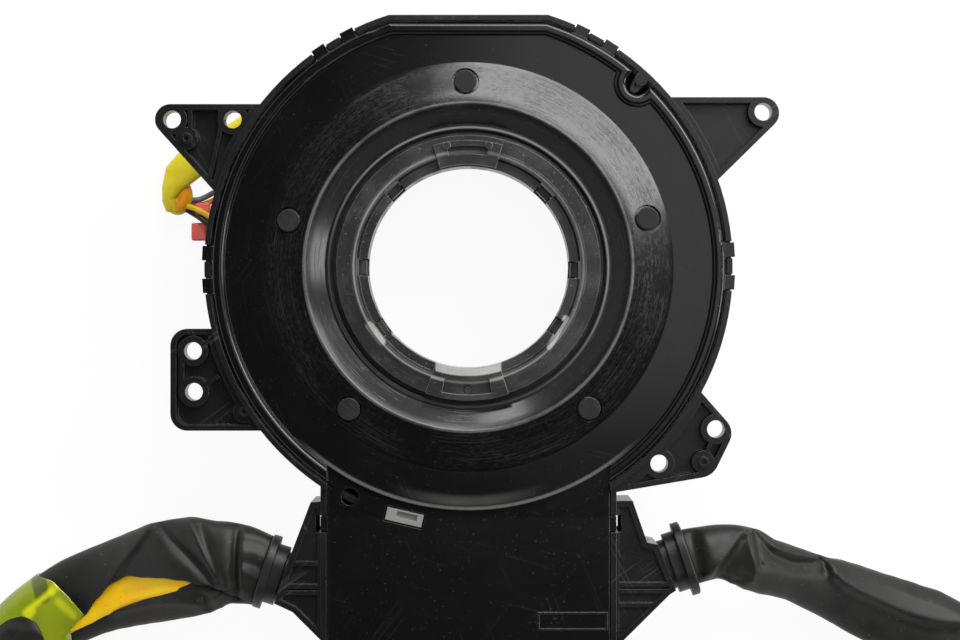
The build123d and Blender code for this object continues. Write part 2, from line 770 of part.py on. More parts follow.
def plug(at, heading, spec):
    """A plug that lies on the floor: wire end at the given point, mating end along the heading."""
    length, width, height = spec["size"]
    nose_l, nose_step = spec["nose"]
    latch_l, latch_w, latch_h = spec["latch"]
    on_floor = (Align.MIN, Align.CENTER, Align.MIN)
    body = Box(length - nose_l, width, height, align=on_floor)
    body = fillet(body.edges().filter_by(Axis.X), spec["corner"])
    nose = Box(length - nose_step, width - 2 * nose_step, height - 2 * nose_step, align=on_floor)
    body += Pos(nose_step, 0, nose_step) * nose
    lever = Box(latch_l, latch_w, latch_h, align=on_floor)
    lever += Pos(latch_w / 4, 0, 0) * Box(latch_w / 3, latch_w, 2 * latch_h, align=on_floor)
    body += Pos(nose_step, 0, height) * lever
    cavity = Box(nose_l + latch_l / 4, 0.45 * spec["pitch"], 0.45 * spec["pitch"],
                 align=(Align.MAX, Align.CENTER, Align.CENTER))
    columns, rows = spec["way_counts"]
    for i in range(columns):
        for j in range(rows):
            y = (i - (columns - 1) / 2) * spec["pitch"]
            z = height / 2 + (j - (rows - 1) / 2) * spec["pitch"]
            body -= Pos(length, y, z) * cavity
    return Pos(at[0], at[1], floor_z) * Rot(0, 0, heading) * body


def pigtail(name, wing_spec, route, plug_spec):
    """A sleeve from its grommet to its far end, the bare leads there, and the plug that they enter."""
    angle = wing_spec["outlet"]["angle"]
    x, y = outlet_at(wing_spec)
    dx, dy = polar(flange_t / 2, angle)
    start = leaving((x + dx, y + dy), angle, outlet_z, sleeve_exit_run)
    path = cord(name + "_sleeve", [*start, *placed(route, (x, y))], sleeve_d)
    end = path @ 1
    along = path % 1
    heading = degrees(atan2(along.Y, along.X))
    columns = plug_spec["way_counts"][0]
    lead = Rot(0, 90, 0) * Cylinder(wire_d / 2, leads_length, align=(Align.CENTER, Align.CENTER, Align.MIN))
    leads = [Pos(0, (i - (columns - 1) / 2) * plug_spec["pitch"], 0) * lead for i in range(columns)]
    save(name + "_leads", Pos(end.X, end.Y, end.Z) * Rot(0, 0, heading) * Compound(children=leads))
    back = end + along * leads_length
    save(name + "_connector", plug((back.X, back.Y), heading, plug_spec))


save("stator_case", stator_case())
save("rear_cover", rear_cover())
save("rotor", rotor())
save("cancel_ring", cancel_ring())
save("left_grommet", grommet(left_wing))
save("right_grommet", grommet(right_wing))
save("flat_cable", flat_cable())
sheet_out_r = plate_arc_r - plate_lap - sheet_t
sheet_in_r = hub_r + sheet_t
save("rear_slip_sheet", pipe(sheet_out_r, sheet_in_r, cover_under_z - sheet_t, cover_under_z))
save("front_slip_sheet", pipe(disc_r - sheet_t, sheet_in_r, disc_rear_z, disc_rear_z + sheet_t))
window_w, window_h, window_depth = clip_window
window = slab(clip_place * Pos(*clip_window_off) * Rectangle(window_w, window_h), plate_z - window_depth, plate_z + 1)
save("joint_clip", slab(clip_place * Rectangle(*clip_size), floor_top_z, plate_z) - window)

block = Box(*joint_block_size, align=(Align.CENTER, Align.CENTER, Align.MIN))
block = Pos(0, box_end_y + joint_block_from_end, floor_top_z) * chamfer(block.edges().filter_by(Axis.Z), 1.0)
save("left_joint_block", Pos(-joint_block_x, 0) * block)
save("right_joint_block", Pos(joint_block_x, 0) * block)
inner_block = sector(hub_r, hub_r + inner_block_t, inner_block_angle, inner_block_half_deg)
inner_block_z = disc_rear_z + 2 * sheet_t
save("inner_joint_block", slab(inner_block, inner_block_z, inner_block_z + inner_block_h))
save("lead_cap", slab(tower_face() - Circle(collar_r + fit_gap), tower_end_z - cap_t, tower_end_z))

pigtail("left", left_wing, left_route, left_plug)
pigtail("right", right_wing, right_route, right_plug)

tower_x, tower_y = polar(disc_r - tower_in, tower_angle)
mouth_dx, mouth_dy = polar(tower_size[0] / 2, tower_heading)
mouth = (tower_x + mouth_dx, tower_y + mouth_dy)
tube_start = leaving(mouth, tower_heading, tube_exit_z, tube_exit_run)
cord("airbag_tube", [*tube_start, *placed(tube_route, mouth)], tube_d)
for name, route in wire_routes.items():
    cord(name, placed(route, mouth), wire_d)
for name, at, heading, spec in (
    ("red_connector", red_plug_at, red_plug_heading, red_plug),
    ("squib_connector", squib_plug_at, squib_plug_heading, squib_plug),
):
    save(name, plug((mouth[0] + at[0], mouth[1] + at[1]), heading, spec))

for name, shape in pieces.items():
    export_step(shape, f"parts/{name}.step")
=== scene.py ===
import bisect
import math

import bmesh
import bpy
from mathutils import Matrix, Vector


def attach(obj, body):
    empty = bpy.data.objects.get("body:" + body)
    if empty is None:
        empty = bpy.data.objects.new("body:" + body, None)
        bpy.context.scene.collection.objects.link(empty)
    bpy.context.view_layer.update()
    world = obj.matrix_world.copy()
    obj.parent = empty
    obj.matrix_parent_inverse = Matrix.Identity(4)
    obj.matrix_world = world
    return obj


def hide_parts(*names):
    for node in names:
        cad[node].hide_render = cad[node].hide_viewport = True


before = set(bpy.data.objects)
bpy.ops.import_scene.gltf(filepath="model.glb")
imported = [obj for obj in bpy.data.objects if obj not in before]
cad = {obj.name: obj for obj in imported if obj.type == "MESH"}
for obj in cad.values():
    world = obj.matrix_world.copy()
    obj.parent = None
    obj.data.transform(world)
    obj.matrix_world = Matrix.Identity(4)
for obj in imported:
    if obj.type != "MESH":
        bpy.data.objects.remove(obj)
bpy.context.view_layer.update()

# Stator case: one injection moulding in glass-filled black polyester, with its round wall, ears, box and wings.
# Its skin is matt with a faint flow grain, scuffed grey along the edges that rub in handling, and specked with dust.


class Number:
    """A shader value. Sums on it add Math nodes, so that a mask reads as one expression."""

    def __init__(self, tree, socket):
        self.tree = tree
        self.socket = socket

    def maths(self, operation, *terms):
        node = self.tree.nodes.new("ShaderNodeMath")
        node.operation = operation
        for slot, term in zip(node.inputs, terms):
            plug_in(self.tree, slot, term)
        return Number(self.tree, node.outputs[0])

    def __add__(self, other):
        return self.maths("ADD", self, other)

    def __sub__(self, other):
        return self.maths("SUBTRACT", self, other)

    def __rsub__(self, other):
        return self.maths("SUBTRACT", other, self)

    def __mul__(self, other):
        return self.maths("MULTIPLY", self, other)

    def __truediv__(self, other):
        return self.maths("DIVIDE", self, other)

    def __pow__(self, other):
        return self.maths("POWER", self, other)

    __radd__ = __add__
    __rmul__ = __mul__

    def above(self, edge, soft):
        """0 below the edge and 1 above it, with a soft step."""
        step = self.tree.nodes.new("ShaderNodeMapRange")
        step.interpolation_type = "SMOOTHSTEP"
        for name, term in (("Value", self), ("From Min", edge - soft), ("From Max", edge + soft)):
            plug_in(self.tree, step.inputs[name], term)
        return Number(self.tree, step.outputs[0])

    def limited(self):
        return self.maths("MINIMUM", self.maths("MAXIMUM", self, 0.0), 1.0)

    def most(self, other):
        return self.maths("MAXIMUM", self, other)

    def near(self, value, reach, soft):
        """1 within a distance of a value and 0 past it, with a soft step."""
        gap = self - value
        return 1 - gap.maths("ABSOLUTE", gap).above(reach, soft)


def plug_in(tree, slot, term):
    """Sets a socket to a value, or links it."""
    if isinstance(term, Number):
        tree.links.new(term.socket, slot)
    elif isinstance(term, bpy.types.NodeSocket):
        tree.links.new(term, slot)
    elif slot.type == "RGBA" and len(term) == 3:
        slot.default_value = (*term, 1.0)
    else:
        slot.default_value = term


def new_node(tree, kind, settings, sockets):
    """A node: its settings first, then the values or links of its sockets, by name or by number."""
    node = tree.nodes.new(kind)
    for setting, value in (settings or {}).items():
        setattr(node, setting, value)
    for socket, value in sockets.items():
        key = int(socket[1:]) if socket[0] == "_" else socket.replace("_", " ")
        plug_in(tree, node.inputs[key], value)
    return node


class Nodes:
    """A node tree in the making."""

    def __init__(self, tree, place):
        self.tree = tree
        self.place = self.add("ShaderNodeTexCoord").socket(place)

    def add(self, kind, settings=None, **sockets):
        return Outputs(self.tree, new_node(self.tree, kind, settings, sockets))

    def noise(self, scale, detail=3.0, rough=0.55, place=None):
        place = place or self.place
        return self.add("ShaderNodeTexNoise", Vector=place, Scale=scale, Detail=detail, Roughness=rough)[0]

    def mix(self, share, under, over):
        """One colour over another."""
        return self.add("ShaderNodeMix", {"data_type": "RGBA"}, _0=share, _6=under, _7=over).socket(2)

    def stretched(self, scale, turn):
        """Object coordinates drawn out along an axis, for grain and scratches."""
        return self.add("ShaderNodeMapping", Vector=self.place, Scale=scale, Rotation=turn).socket(0)

    def drawn_out(self, fine, long, turn):
        """Object coordinates for marks of a width and a length in metres, that run at an angle in plan."""
        return self.add("ShaderNodeMapping", {"vector_type": "TEXTURE"}, Vector=self.place,
                        Rotation=(0.0, 0.0, turn), Scale=(fine, long, long)).socket(0)

    def axes(self, place=None):
        parts = self.add("ShaderNodeSeparateXYZ", Vector=place or self.place)
        return parts["X"], parts["Y"], parts["Z"]

    def round_axis(self):
        """A place in plan: x and y, then the distance from the axis and the turn round it."""
        x, y, _ = self.axes()
        return x, y, (x * x + y * y) ** 0.5, x.maths("ARCTAN2", y, x)

    def joined(self, x, y, z):
        return self.add("ShaderNodeCombineXYZ", X=x, Y=y, Z=z).socket(0)

    def stripe(self, start, end, reach, soft):
        """1 within a distance of a straight line between two places in plan, all in metres, with a soft edge."""
        x, y, _ = self.axes()
        dx, dy = end[0] - start[0], end[1] - start[1]
        share = (((x - start[0]) * dx + (y - start[1]) * dy) / (dx * dx + dy * dy)).limited()
        aside, below = x - start[0] - share * dx, y - start[1] - share * dy
        return 1 - ((aside * aside + below * below) ** 0.5).above(reach, soft)


class Finish(Nodes):
    """A procedural material in the making: its Principled shader, and every pattern on Object coordinates."""

    def __init__(self, name, **constants):
        self.material = bpy.data.materials.new(name)
        self.material.use_nodes = True
        super().__init__(self.material.node_tree, "Object")
        self.shader = self.tree.nodes["Principled BSDF"]
        for socket, value in constants.items():
            self.set(socket.replace("_", " "), value)

    def set(self, socket, value):
        plug_in(self.tree, self.shader.inputs[socket], value)

    def bumps(self, height, distance, strength, normal=None):
        sockets = {"Height": height, "Distance": distance, "Strength": strength}
        if normal is not None:
            sockets["Normal"] = normal
        return self.add("ShaderNodeBump", **sockets).socket("Normal")

    def edge(self, radius):
        """A normal rounded over the edges, and a mask that is 1 where it leaves the true one."""
        soft = self.add("ShaderNodeBevel", {"samples": 4}, Radius=radius).socket(0)
        true = self.add("ShaderNodeNewGeometry").socket("True Normal")
        along = self.add("ShaderNodeVectorMath", {"operation": "DOT_PRODUCT"}, _0=soft, _1=true)["Value"]
        return soft, (1 - along).limited()

    def scratches(self, density, thickness, turns):
        """Fine straight scratches in a few directions, where two stretched noises cross."""
        marks = None
        for turn in turns:
            lines = self.noise(1.0, 1.0, 0.4, self.drawn_out(0.0004, 0.022, turn))
            patches = self.noise(1.0, 2.0, 0.5, self.drawn_out(0.006, 0.012, turn))
            mark = lines.above(1.0 - density, thickness) * patches.above(0.58, 0.05)
            marks = mark if marks is None else marks.most(mark)
        return marks


class Outputs:
    """A node's outputs: [name] gives a Number, socket(name) the socket itself."""

    def __init__(self, tree, node):
        self.tree = tree
        self.node = node

    def __getitem__(self, name):
        return Number(self.tree, self.socket(name))

    def socket(self, name):
        return self.node.outputs[name]


def dress(piece, finish):
    """Gives a piece its one material."""
    piece.data.materials.clear()
    piece.data.materials.append(finish.material)


def moulded(name, colour, dusty, roughness, radius=0.00022, grain=0.00002, wear=0.6):
    """Moulded plastic: grain, a mottled sheen, edges rubbed lighter, a few scratches and a little dust."""
    made = Finish(name)
    soft, edge = made.edge(radius)
    fine = made.noise(2600, 2.0)
    flow = made.noise(90, 4.0)
    worn = (edge * 3.0 * made.noise(700, 3.0).above(0.45, 0.2)).limited()
    specks = made.noise(1500, 1.0, 0.4).above(0.74, 0.03)
    scored = made.scratches(0.36, 0.03, (0.5, 2.2))
    base = made.mix(worn * wear, colour, dusty)
    base = made.mix((specks * 0.4 * flow.above(0.5, 0.15)).most(scored * 0.3), base, dusty)
    made.set("Base Color", base)
    made.set("Roughness", roughness + 0.2 * (flow - 0.5) + 0.1 * (fine - 0.5) + 0.1 * scored)
    made.set("Normal", made.bumps(fine, grain, 0.6, soft))
    return made


CASE_BLACK = (0.0042, 0.0042, 0.0044)
RUBBED = (0.05, 0.049, 0.046)
dress(cad["stator_case"], moulded("case_polyester", CASE_BLACK, RUBBED, 0.3, wear=0.8))

# Rear cover: a second black moulding, snapped into the case by eight lugs. Its tool was polished, so it shines
# where the case is matt. The wheel's hub has scuffed the cone, and handling has left fine circular scratches.
COVER_BLACK = (0.0028, 0.0028, 0.003)
SCUFF_GREY = (0.034, 0.033, 0.031)
# Painted highlight grey of the crest line
CREST_HIGHLIGHT_GREY = (0.11, 0.108, 0.102)
# Painted highlight grey of the funnel's lip
LIP_HIGHLIGHT_GREY = (0.19, 0.188, 0.18)
# Painted highlight grey of the bead across the box plate
BEAD_HIGHLIGHT_GREY = (0.12, 0.119, 0.115)
DUST = (0.12, 0.115, 0.1)
LIP_R = 0.0308
CREST_R = 0.036
CONE_FOOT_R = 0.0452
BEAD_R = 0.0532
CASE_R = 0.0582


def cover_finish():
    made = Finish("cover_polyester")
    soft, edge = made.edge(0.00025)
    x, y, radius, turn = made.round_axis()
    on_cone = radius.above(CREST_R - 0.0006, 0.0004) * (1 - radius.above(CONE_FOOT_R - 0.0004, 0.0009))
    stud = on_cone * made.axes(made.add("ShaderNodeNewGeometry").socket("Normal"))[2].above(0.985, 0.01)
    funnel = 1 - radius.above(CREST_R - 0.0006, 0.0004)
    on_plate = 1 - y.above(-CASE_R + 0.003, 0.0006)
    # Marks drawn round the axis: noise that is fine across the radius and long along the turn
    rings = made.noise(1.0, 2.0, 0.5, made.joined(radius * 3800.0, turn * 2.2, 0.0))
    shorter = made.noise(1.0, 2.0, 0.6, made.joined(radius * 1500.0, turn * 9.0, 3.0))
    round_marks = rings.above(0.62, 0.03).most(shorter.above(0.66, 0.03))
    cloudy = made.noise(55, 5.0, 0.62)
    mottled = made.noise(900, 5.0, 0.7)
    streaky = made.noise(1.0, 4.0, 0.7, made.joined(radius * 3000.0, turn * 26.0, 7.0))
    rubbed = (streaky.above(0.5, 0.1) * mottled.above(0.4, 0.16)).limited()
    rubbed = rubbed * (0.35 + 0.65 * cloudy.above(0.45, 0.12))
    straight = made.scratches(0.33, 0.03, (0.4, 1.3, 2.5))
    scored = round_marks * (0.12 + 0.88 * (on_cone + funnel).limited()) * cloudy.above(0.44, 0.08)
    scored = scored.most(0.45 * straight)
    specks = made.noise(2300, 1.0, 0.4).above(0.755, 0.015)
    worn = (edge * 3.0 * mottled.above(0.42, 0.12)).limited()
    greyed = 0.22 * scored + 0.06 * rubbed * (on_cone + 0.6 * funnel) + 0.25 * stud * cloudy
    base = made.mix(greyed.limited(), COVER_BLACK, SCUFF_GREY)
    base = made.mix(worn * 0.7, base, RUBBED)
    # A painted highlight along the rounded crest, light grey in patches
    crest_highlight = radius.near(CREST_R, 0.0003, 0.00025) * (0.35 + 0.65 * cloudy.above(0.46, 0.1))
    base = made.mix(crest_highlight, base, CREST_HIGHLIGHT_GREY)
    # The funnel's lip carries a painted highlight, strongest on its upper right side
    upper_right_lit = ((0.5 * x + 0.85 * y) / radius).above(0.0, 0.7)
    base = made.mix(radius.near(LIP_R, 0.0002, 0.0002) * (0.12 + 0.7 * upper_right_lit), base, LIP_HIGHLIGHT_GREY)
    # The bead runs on across the box plate, with a painted highlight along its top and, at the middle, on its inner
    # side
    on_box = 1 - y.above(-0.041, 0.004)
    bead = radius.near(BEAD_R, 0.00035, 0.0003) * on_box * (0.5 + 0.5 * mottled)
    bead_inner_highlight = radius.near(BEAD_R - 0.0016, 0.001, 0.0008) * x.near(0.0, 0.011, 0.008) * on_box
    base = made.mix(bead.most(bead_inner_highlight * (0.1 + 0.4 * cloudy)), base, BEAD_HIGHLIGHT_GREY)
    base = made.mix(specks * 0.25, base, DUST)
    made.set("Base Color", base)
    sheen = 0.15 + 0.06 * on_cone + 0.06 * funnel + 0.05 * on_plate + 0.14 * stud
    made.set("Roughness", (sheen + 0.1 * (cloudy - 0.5) + 0.13 * rubbed * on_cone + 0.1 * scored).limited())
    # The crest is rounded: the cone and the funnel both flatten towards it
    slope = (radius - CREST_R) / (CONE_FOOT_R - CREST_R)
    outside = (0.35 - slope).most(0.0)
    inside = (0.2 + slope).most(0.0)
    past_crest = radius.above(CREST_R, 0.0002)
    rounded = past_crest * outside * outside + (1 - past_crest) * inside * inside
    fine = made.noise(2200, 2.0)
    relief = 0.0000015 * fine - 0.000006 * scored + 0.000012 * mottled * on_cone - 0.0026 * rounded
    made.set("Normal", made.bumps(relief, 1.0, 1.0, soft))
    return made


dress(cad["rear_cover"], cover_finish())


def repeated(name, inputs, build, material):
    """A plain mesh from a Geometry Nodes tree: named number and vector inputs, and what build makes of them."""
    tree = bpy.data.node_groups.new(name, "GeometryNodeTree")
    tree.interface.new_socket("Geometry", in_out="OUTPUT", socket_type="NodeSocketGeometry")
    tree.interface.new_socket("Geometry", in_out="INPUT", socket_type="NodeSocketGeometry")
    kinds = {float: "NodeSocketFloat", int: "NodeSocketInt", tuple: "NodeSocketVector"}
    sockets = {}
    for label, value in inputs.items():
        sockets[label] = tree.interface.new_socket(label, in_out="INPUT", socket_type=kinds[type(value)])
    given = tree.nodes.new("NodeGroupInput")

    def made(kind, settings=None, **links):
        return new_node(tree, kind, settings, links).outputs[0]

    form = build(made, {label: given.outputs[label] for label in (*inputs, "Geometry")})
    form = made("GeometryNodeRealizeInstances", Geometry=form)
    form = made("GeometryNodeSetMaterial", Geometry=form, Material=material)
    tree.links.new(form, tree.nodes.new("NodeGroupOutput").inputs[0])
    holder = bpy.data.objects.new(name, bpy.data.meshes.new(name))
    bpy.context.scene.collection.objects.link(holder)
    modifier = holder.modifiers.new(name, "NODES")
    modifier.node_group = tree
    for label, value in inputs.items():
        modifier[sockets[label].identifier] = value
    bpy.context.view_layer.update()
    solid = bpy.data.meshes.new_from_object(holder.evaluated_get(bpy.context.evaluated_depsgraph_get()))
    holder.modifiers.remove(modifier)
    holder.data = solid
    return holder


STUD_ANGLES = (15.1, 91.0, 165.5, 229.9, 310.5)
STUD_R = CREST_R + 0.52 * (CONE_FOOT_R - CREST_R)
STUD_Z = 0.0013


def stud_heads(made, given):
    """Heads of the five studs moulded on the cone, each level with the cone on the side of the hub."""
    head = made("GeometryNodeMeshCone", {"fill_type": "NGON"}, Vertices=40, Radius_Top=given["Top radius"],
                Radius_Bottom=given["Foot radius"], Depth=given["Height"])
    joined = made("GeometryNodeJoinGeometry")
    for number in range(len(STUD_ANGLES)):
        moved = made("GeometryNodeTransform", Geometry=head, Translation=given["Place %d" % number])
        joined.id_data.links.new(moved, joined.node.inputs[0])
    return joined


stud_sizes = {"Top radius": 0.00236, "Foot radius": 0.0025, "Height": 0.0019}
for number, angle in enumerate(map(math.radians, STUD_ANGLES)):
    stud_sizes["Place %d" % number] = (STUD_R * math.cos(angle), STUD_R * math.sin(angle), STUD_Z)
heads = repeated("cover_stud_heads", stud_sizes, stud_heads, cad["rear_cover"].data.materials[0])
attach(heads, "stator")

# Rotor: the disc, hub and lead tower that turn with the wheel, one black acetal moulding that slides without
# grease. It drops into the case from the front, and the ring on its other end holds it there.
ACETAL_BLACK = (0.012, 0.012, 0.0125)
dress(cad["rotor"], moulded("rotor_acetal", ACETAL_BLACK, RUBBED, 0.38))

# Cancelling ring: a dark acetal ring hooked on the hub's end, whose lugs push the turn signal's lever back.
# Its face is satin, with the witness marks of the ejector pins and of the wheel that has rubbed it.
RING_FACE_Z = 0.0018
RIM_R = 0.02535
LUG_R = 0.0239
LUG_HALF = 0.0072
# Pale patches painted beside the hub's hooks: both ends in plan, and half the width
PALE_PATCHES = [((-0.0218, -0.0128), (-0.019, -0.0164), 0.0008), ((-0.0164, -0.0146), (-0.013, -0.0172), 0.0005),
            ((0.0214, -0.0112), (0.0178, -0.0176), 0.0006)]


def ring_finish():
    made = Finish("ring_acetal")
    soft, edge = made.edge(0.0002)
    x, y, radius, turn = made.round_axis()
    rings = made.noise(1.0, 2.0, 0.5, made.joined(radius * 4200.0, turn * 5.0, 1.0)).above(0.6, 0.04)
    cloudy = made.noise(120, 4.0, 0.6)
    specks = made.noise(2100, 1.0, 0.4).above(0.74, 0.02)
    # Edges painted pale: partly wear, partly a painted highlight on their rounding
    worn = (edge * 3.5 * cloudy.above(0.4, 0.12)).limited()
    base = made.mix((0.35 * rings * cloudy.above(0.5, 0.1) + 0.35 * cloudy.above(0.56, 0.08)).limited(),
                    ACETAL_BLACK, (0.045, 0.045, 0.044))
    base = made.mix(worn.most(0.5 * specks), base, (0.26, 0.26, 0.25))
    # A painted highlight on the inner rim's chamfer, strongest at the lower left
    lower_left_lit = 0.5 - 0.5 * (0.8 * x + 0.6 * y) / radius
    rim_highlight = radius.near(RIM_R, 0.0003, 0.0003) * (0.15 + 0.6 * lower_left_lit) * (0.5 + cloudy)
    base = made.mix(rim_highlight, base, (0.3, 0.3, 0.29))
    # A painted highlight on the lower lug's inner side, which faces the light, and pale patches beside three of the
    # hub's hooks
    lug_highlight_and_patches = (1 - radius.above(LUG_R, 0.0002)) * x.near(0.0, LUG_HALF, 0.0003) * (1 - y.above(0.0, 0.001))
    for start, end, reach in PALE_PATCHES:
        lug_highlight_and_patches = lug_highlight_and_patches.most(made.stripe(start, end, reach, 0.0003))
    base = made.mix(lug_highlight_and_patches * (0.35 + 0.7 * cloudy), base, (0.42, 0.42, 0.39))
    made.set("Base Color", base)
    made.set("Roughness", 0.3 + 0.22 * (cloudy - 0.5) + 0.12 * rings)
    made.set("Normal", made.bumps(made.noise(2400, 2.0) - 0.6 * rings, 0.00002, 0.5, soft))
    return made


dress(cad["cancel_ring"], ring_finish())


def pin_marks(made, given):
    """Witness rings of ejector pins, spread evenly along an arc of the ring's face."""
    arc = made("GeometryNodeCurveArc", {"mode": "RADIUS"}, Resolution=given["Count"], Radius=given["Ring radius"],
               Start_Angle=given["Start"], Sweep_Angle=given["Sweep"])
    wire = made("GeometryNodeCurvePrimitiveCircle", {"mode": "RADIUS"}, Resolution=28, Radius=given["Mark radius"])
    bead = made("GeometryNodeCurvePrimitiveCircle", {"mode": "RADIUS"}, Resolution=8, Radius=given["Line radius"])
    mark = made("GeometryNodeCurveToMesh", Curve=wire, _1=bead)
    spread = made("GeometryNodeInstanceOnPoints", Points=arc, Instance=mark)
    return made("GeometryNodeTransform", Geometry=spread, Translation=given["Lift"])


ring_marks = repeated("ring_pin_marks", {
    "Count": 9, "Ring radius": 0.0268, "Start": math.radians(60.0), "Sweep": math.radians(-300.0),
    "Mark radius": 0.0009, "Line radius": 0.00009, "Lift": (0.0, 0.0, RING_FACE_Z)}, pin_marks,
    cad["rotor"].data.materials[0])
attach(ring_marks, "rotor")

# Inside: the ribbon is flat copper strip between two polyester films, and it slides on two waxed sheets. Blocks
# of pale nylon hold the welds between ribbon and wires, and a cap of the same keeps the leads in their tower.
COPPER = (0.62, 0.3, 0.14)
NYLON = (0.5, 0.49, 0.45)

ribbon_film = Finish("ribbon_film", Base_Color=COPPER, Metallic=0.85, Coat_Weight=0.6, Coat_Roughness=0.08)
ribbon_film.set("Roughness", 0.26 + 0.14 * ribbon_film.noise(900, 3.0))
dress(cad["flat_cable"], ribbon_film)
for name in ("rear_slip_sheet", "front_slip_sheet"):
    dress(cad[name], moulded(name + "_film", (0.012, 0.012, 0.013), (0.04, 0.04, 0.04), 0.45))
for name in ("left_joint_block", "right_joint_block", "inner_joint_block", "lead_cap"):
    dress(cad[name], moulded(name + "_nylon", NYLON, (0.62, 0.61, 0.57), 0.4))

# Clip: a block moulded in light grey nylon with a window in it, pressed into the slot of the cover's box plate
# over the ribbon where it leaves the round case.
dress(cad["joint_clip"], moulded("clip_nylon", (0.17, 0.17, 0.165), (0.4, 0.4, 0.39), 0.42, wear=0.9))

# Grommets: oval collars moulded in soft black PVC and pushed into the wings, where their flanges hold them. Dust
# and fingers have greyed their matt skin along the flanges.
for name in ("left_grommet", "right_grommet"):
    dress(cad[name], moulded(name + "_pvc", (0.0085, 0.0085, 0.0085), (0.04, 0.04, 0.038), 0.46, 0.0003, 0.00004))

# Sleeves: thin black PVC tube pulled over the wires of each outlet and squashed flat in packing, so that it lies
# in folds. The left one has split along its face, which bares a yellow tube, and is mended with yellow tape.
MM = 0.001


def route(name, points):
    """A smooth line on control points in millimetres."""
    curve = bpy.data.curves.new(name, "CURVE")
    curve.dimensions = "3D"
    spline = curve.splines.new("NURBS")
    spline.points.add(len(points) - 1)
    for point, at in zip(spline.points, points):
        point.co = (*[MM * v for v in at], 1.0)
    spline.order_u = 3
    spline.use_endpoint_u = True
    curve.resolution_u = 24
    piece = bpy.data.objects.new(name, curve)
    bpy.context.scene.collection.objects.link(piece)
    return piece


def read_route(name, points):
    """The points along a route, read from its own curve, in millimetres."""
    piece = route(name, points)
    bpy.context.view_layer.update()
    mesh = bpy.data.meshes.new_from_object(piece.evaluated_get(bpy.context.evaluated_depsgraph_get()))
    line = [vert.co / MM for vert in mesh.vertices]
    bpy.data.meshes.remove(mesh)
    bpy.data.objects.remove(piece)
    return line


def between(table, s):
    """One row of a table at a distance along a route, smoothly between the rows that it has."""
    if s <= table[0][0]:
        return table[0][1:]
    for low, high in zip(table, table[1:]):
        if s <= high[0]:
            share = (s - low[0]) / (high[0] - low[0])
            share = share * share * (3 - 2 * share) * 0.5 + share * 0.5
            return [a + (b - a) * share for a, b in zip(low[1:], high[1:])]
    return table[-1][1:]


def line_gap(x, y, points):
    """Distance from a place to a run of points: below 0 on its right."""
    best, side = 1e9, 1.0
    for (ax, ay), (bx, by) in zip(points, points[1:]):
        dx, dy = bx - ax, by - ay
        share = max(0.0, min(1.0, ((x - ax) * dx + (y - ay) * dy) / (dx * dx + dy * dy)))
        gap = math.hypot(x - ax - share * dx, y - ay - share * dy)
        if gap < best:
            best, side = gap, 1.0 if dx * (y - ay) - dy * (x - ax) > 0 else -1.0
    return best * side


STEP_REACH = 16


def fold_height(x, y, folds):
    """How far a sleeve's face stands out or in at a place, from its folds: a kind, a height, a width and a line."""
    total = 0.0
    for kind, height, width, points in folds:
        gap = line_gap(x, y, points)
        if kind == "fold" and abs(gap) < 4 * width:
            total += height * math.exp(-abs(gap / width) ** 1.6)
        elif kind == "step" and -2 * width < gap < STEP_REACH:
            total += height * (0.5 + 0.5 * math.tanh(1.6 * gap / width)) * (1 - max(gap, 0.0) / STEP_REACH) ** 2
    return total


def closed_piece(name, verts, faces):
    """A piece from its points and faces, with the faces turned outwards and smooth but for its ends."""
    mesh = bpy.data.meshes.new(name)
    mesh.from_pydata(verts, [], faces)
    form = bmesh.new()
    form.from_mesh(mesh)
    bmesh.ops.recalc_face_normals(form, faces=form.faces)
    form.to_mesh(mesh)
    form.free()
    for face in mesh.polygons:
        face.use_smooth = len(face.vertices) == 4
    piece = bpy.data.objects.new(name, mesh)
    bpy.context.scene.collection.objects.link(piece)
    return piece


LIP_RISE = 0.5
LIP_SINK = 0.7


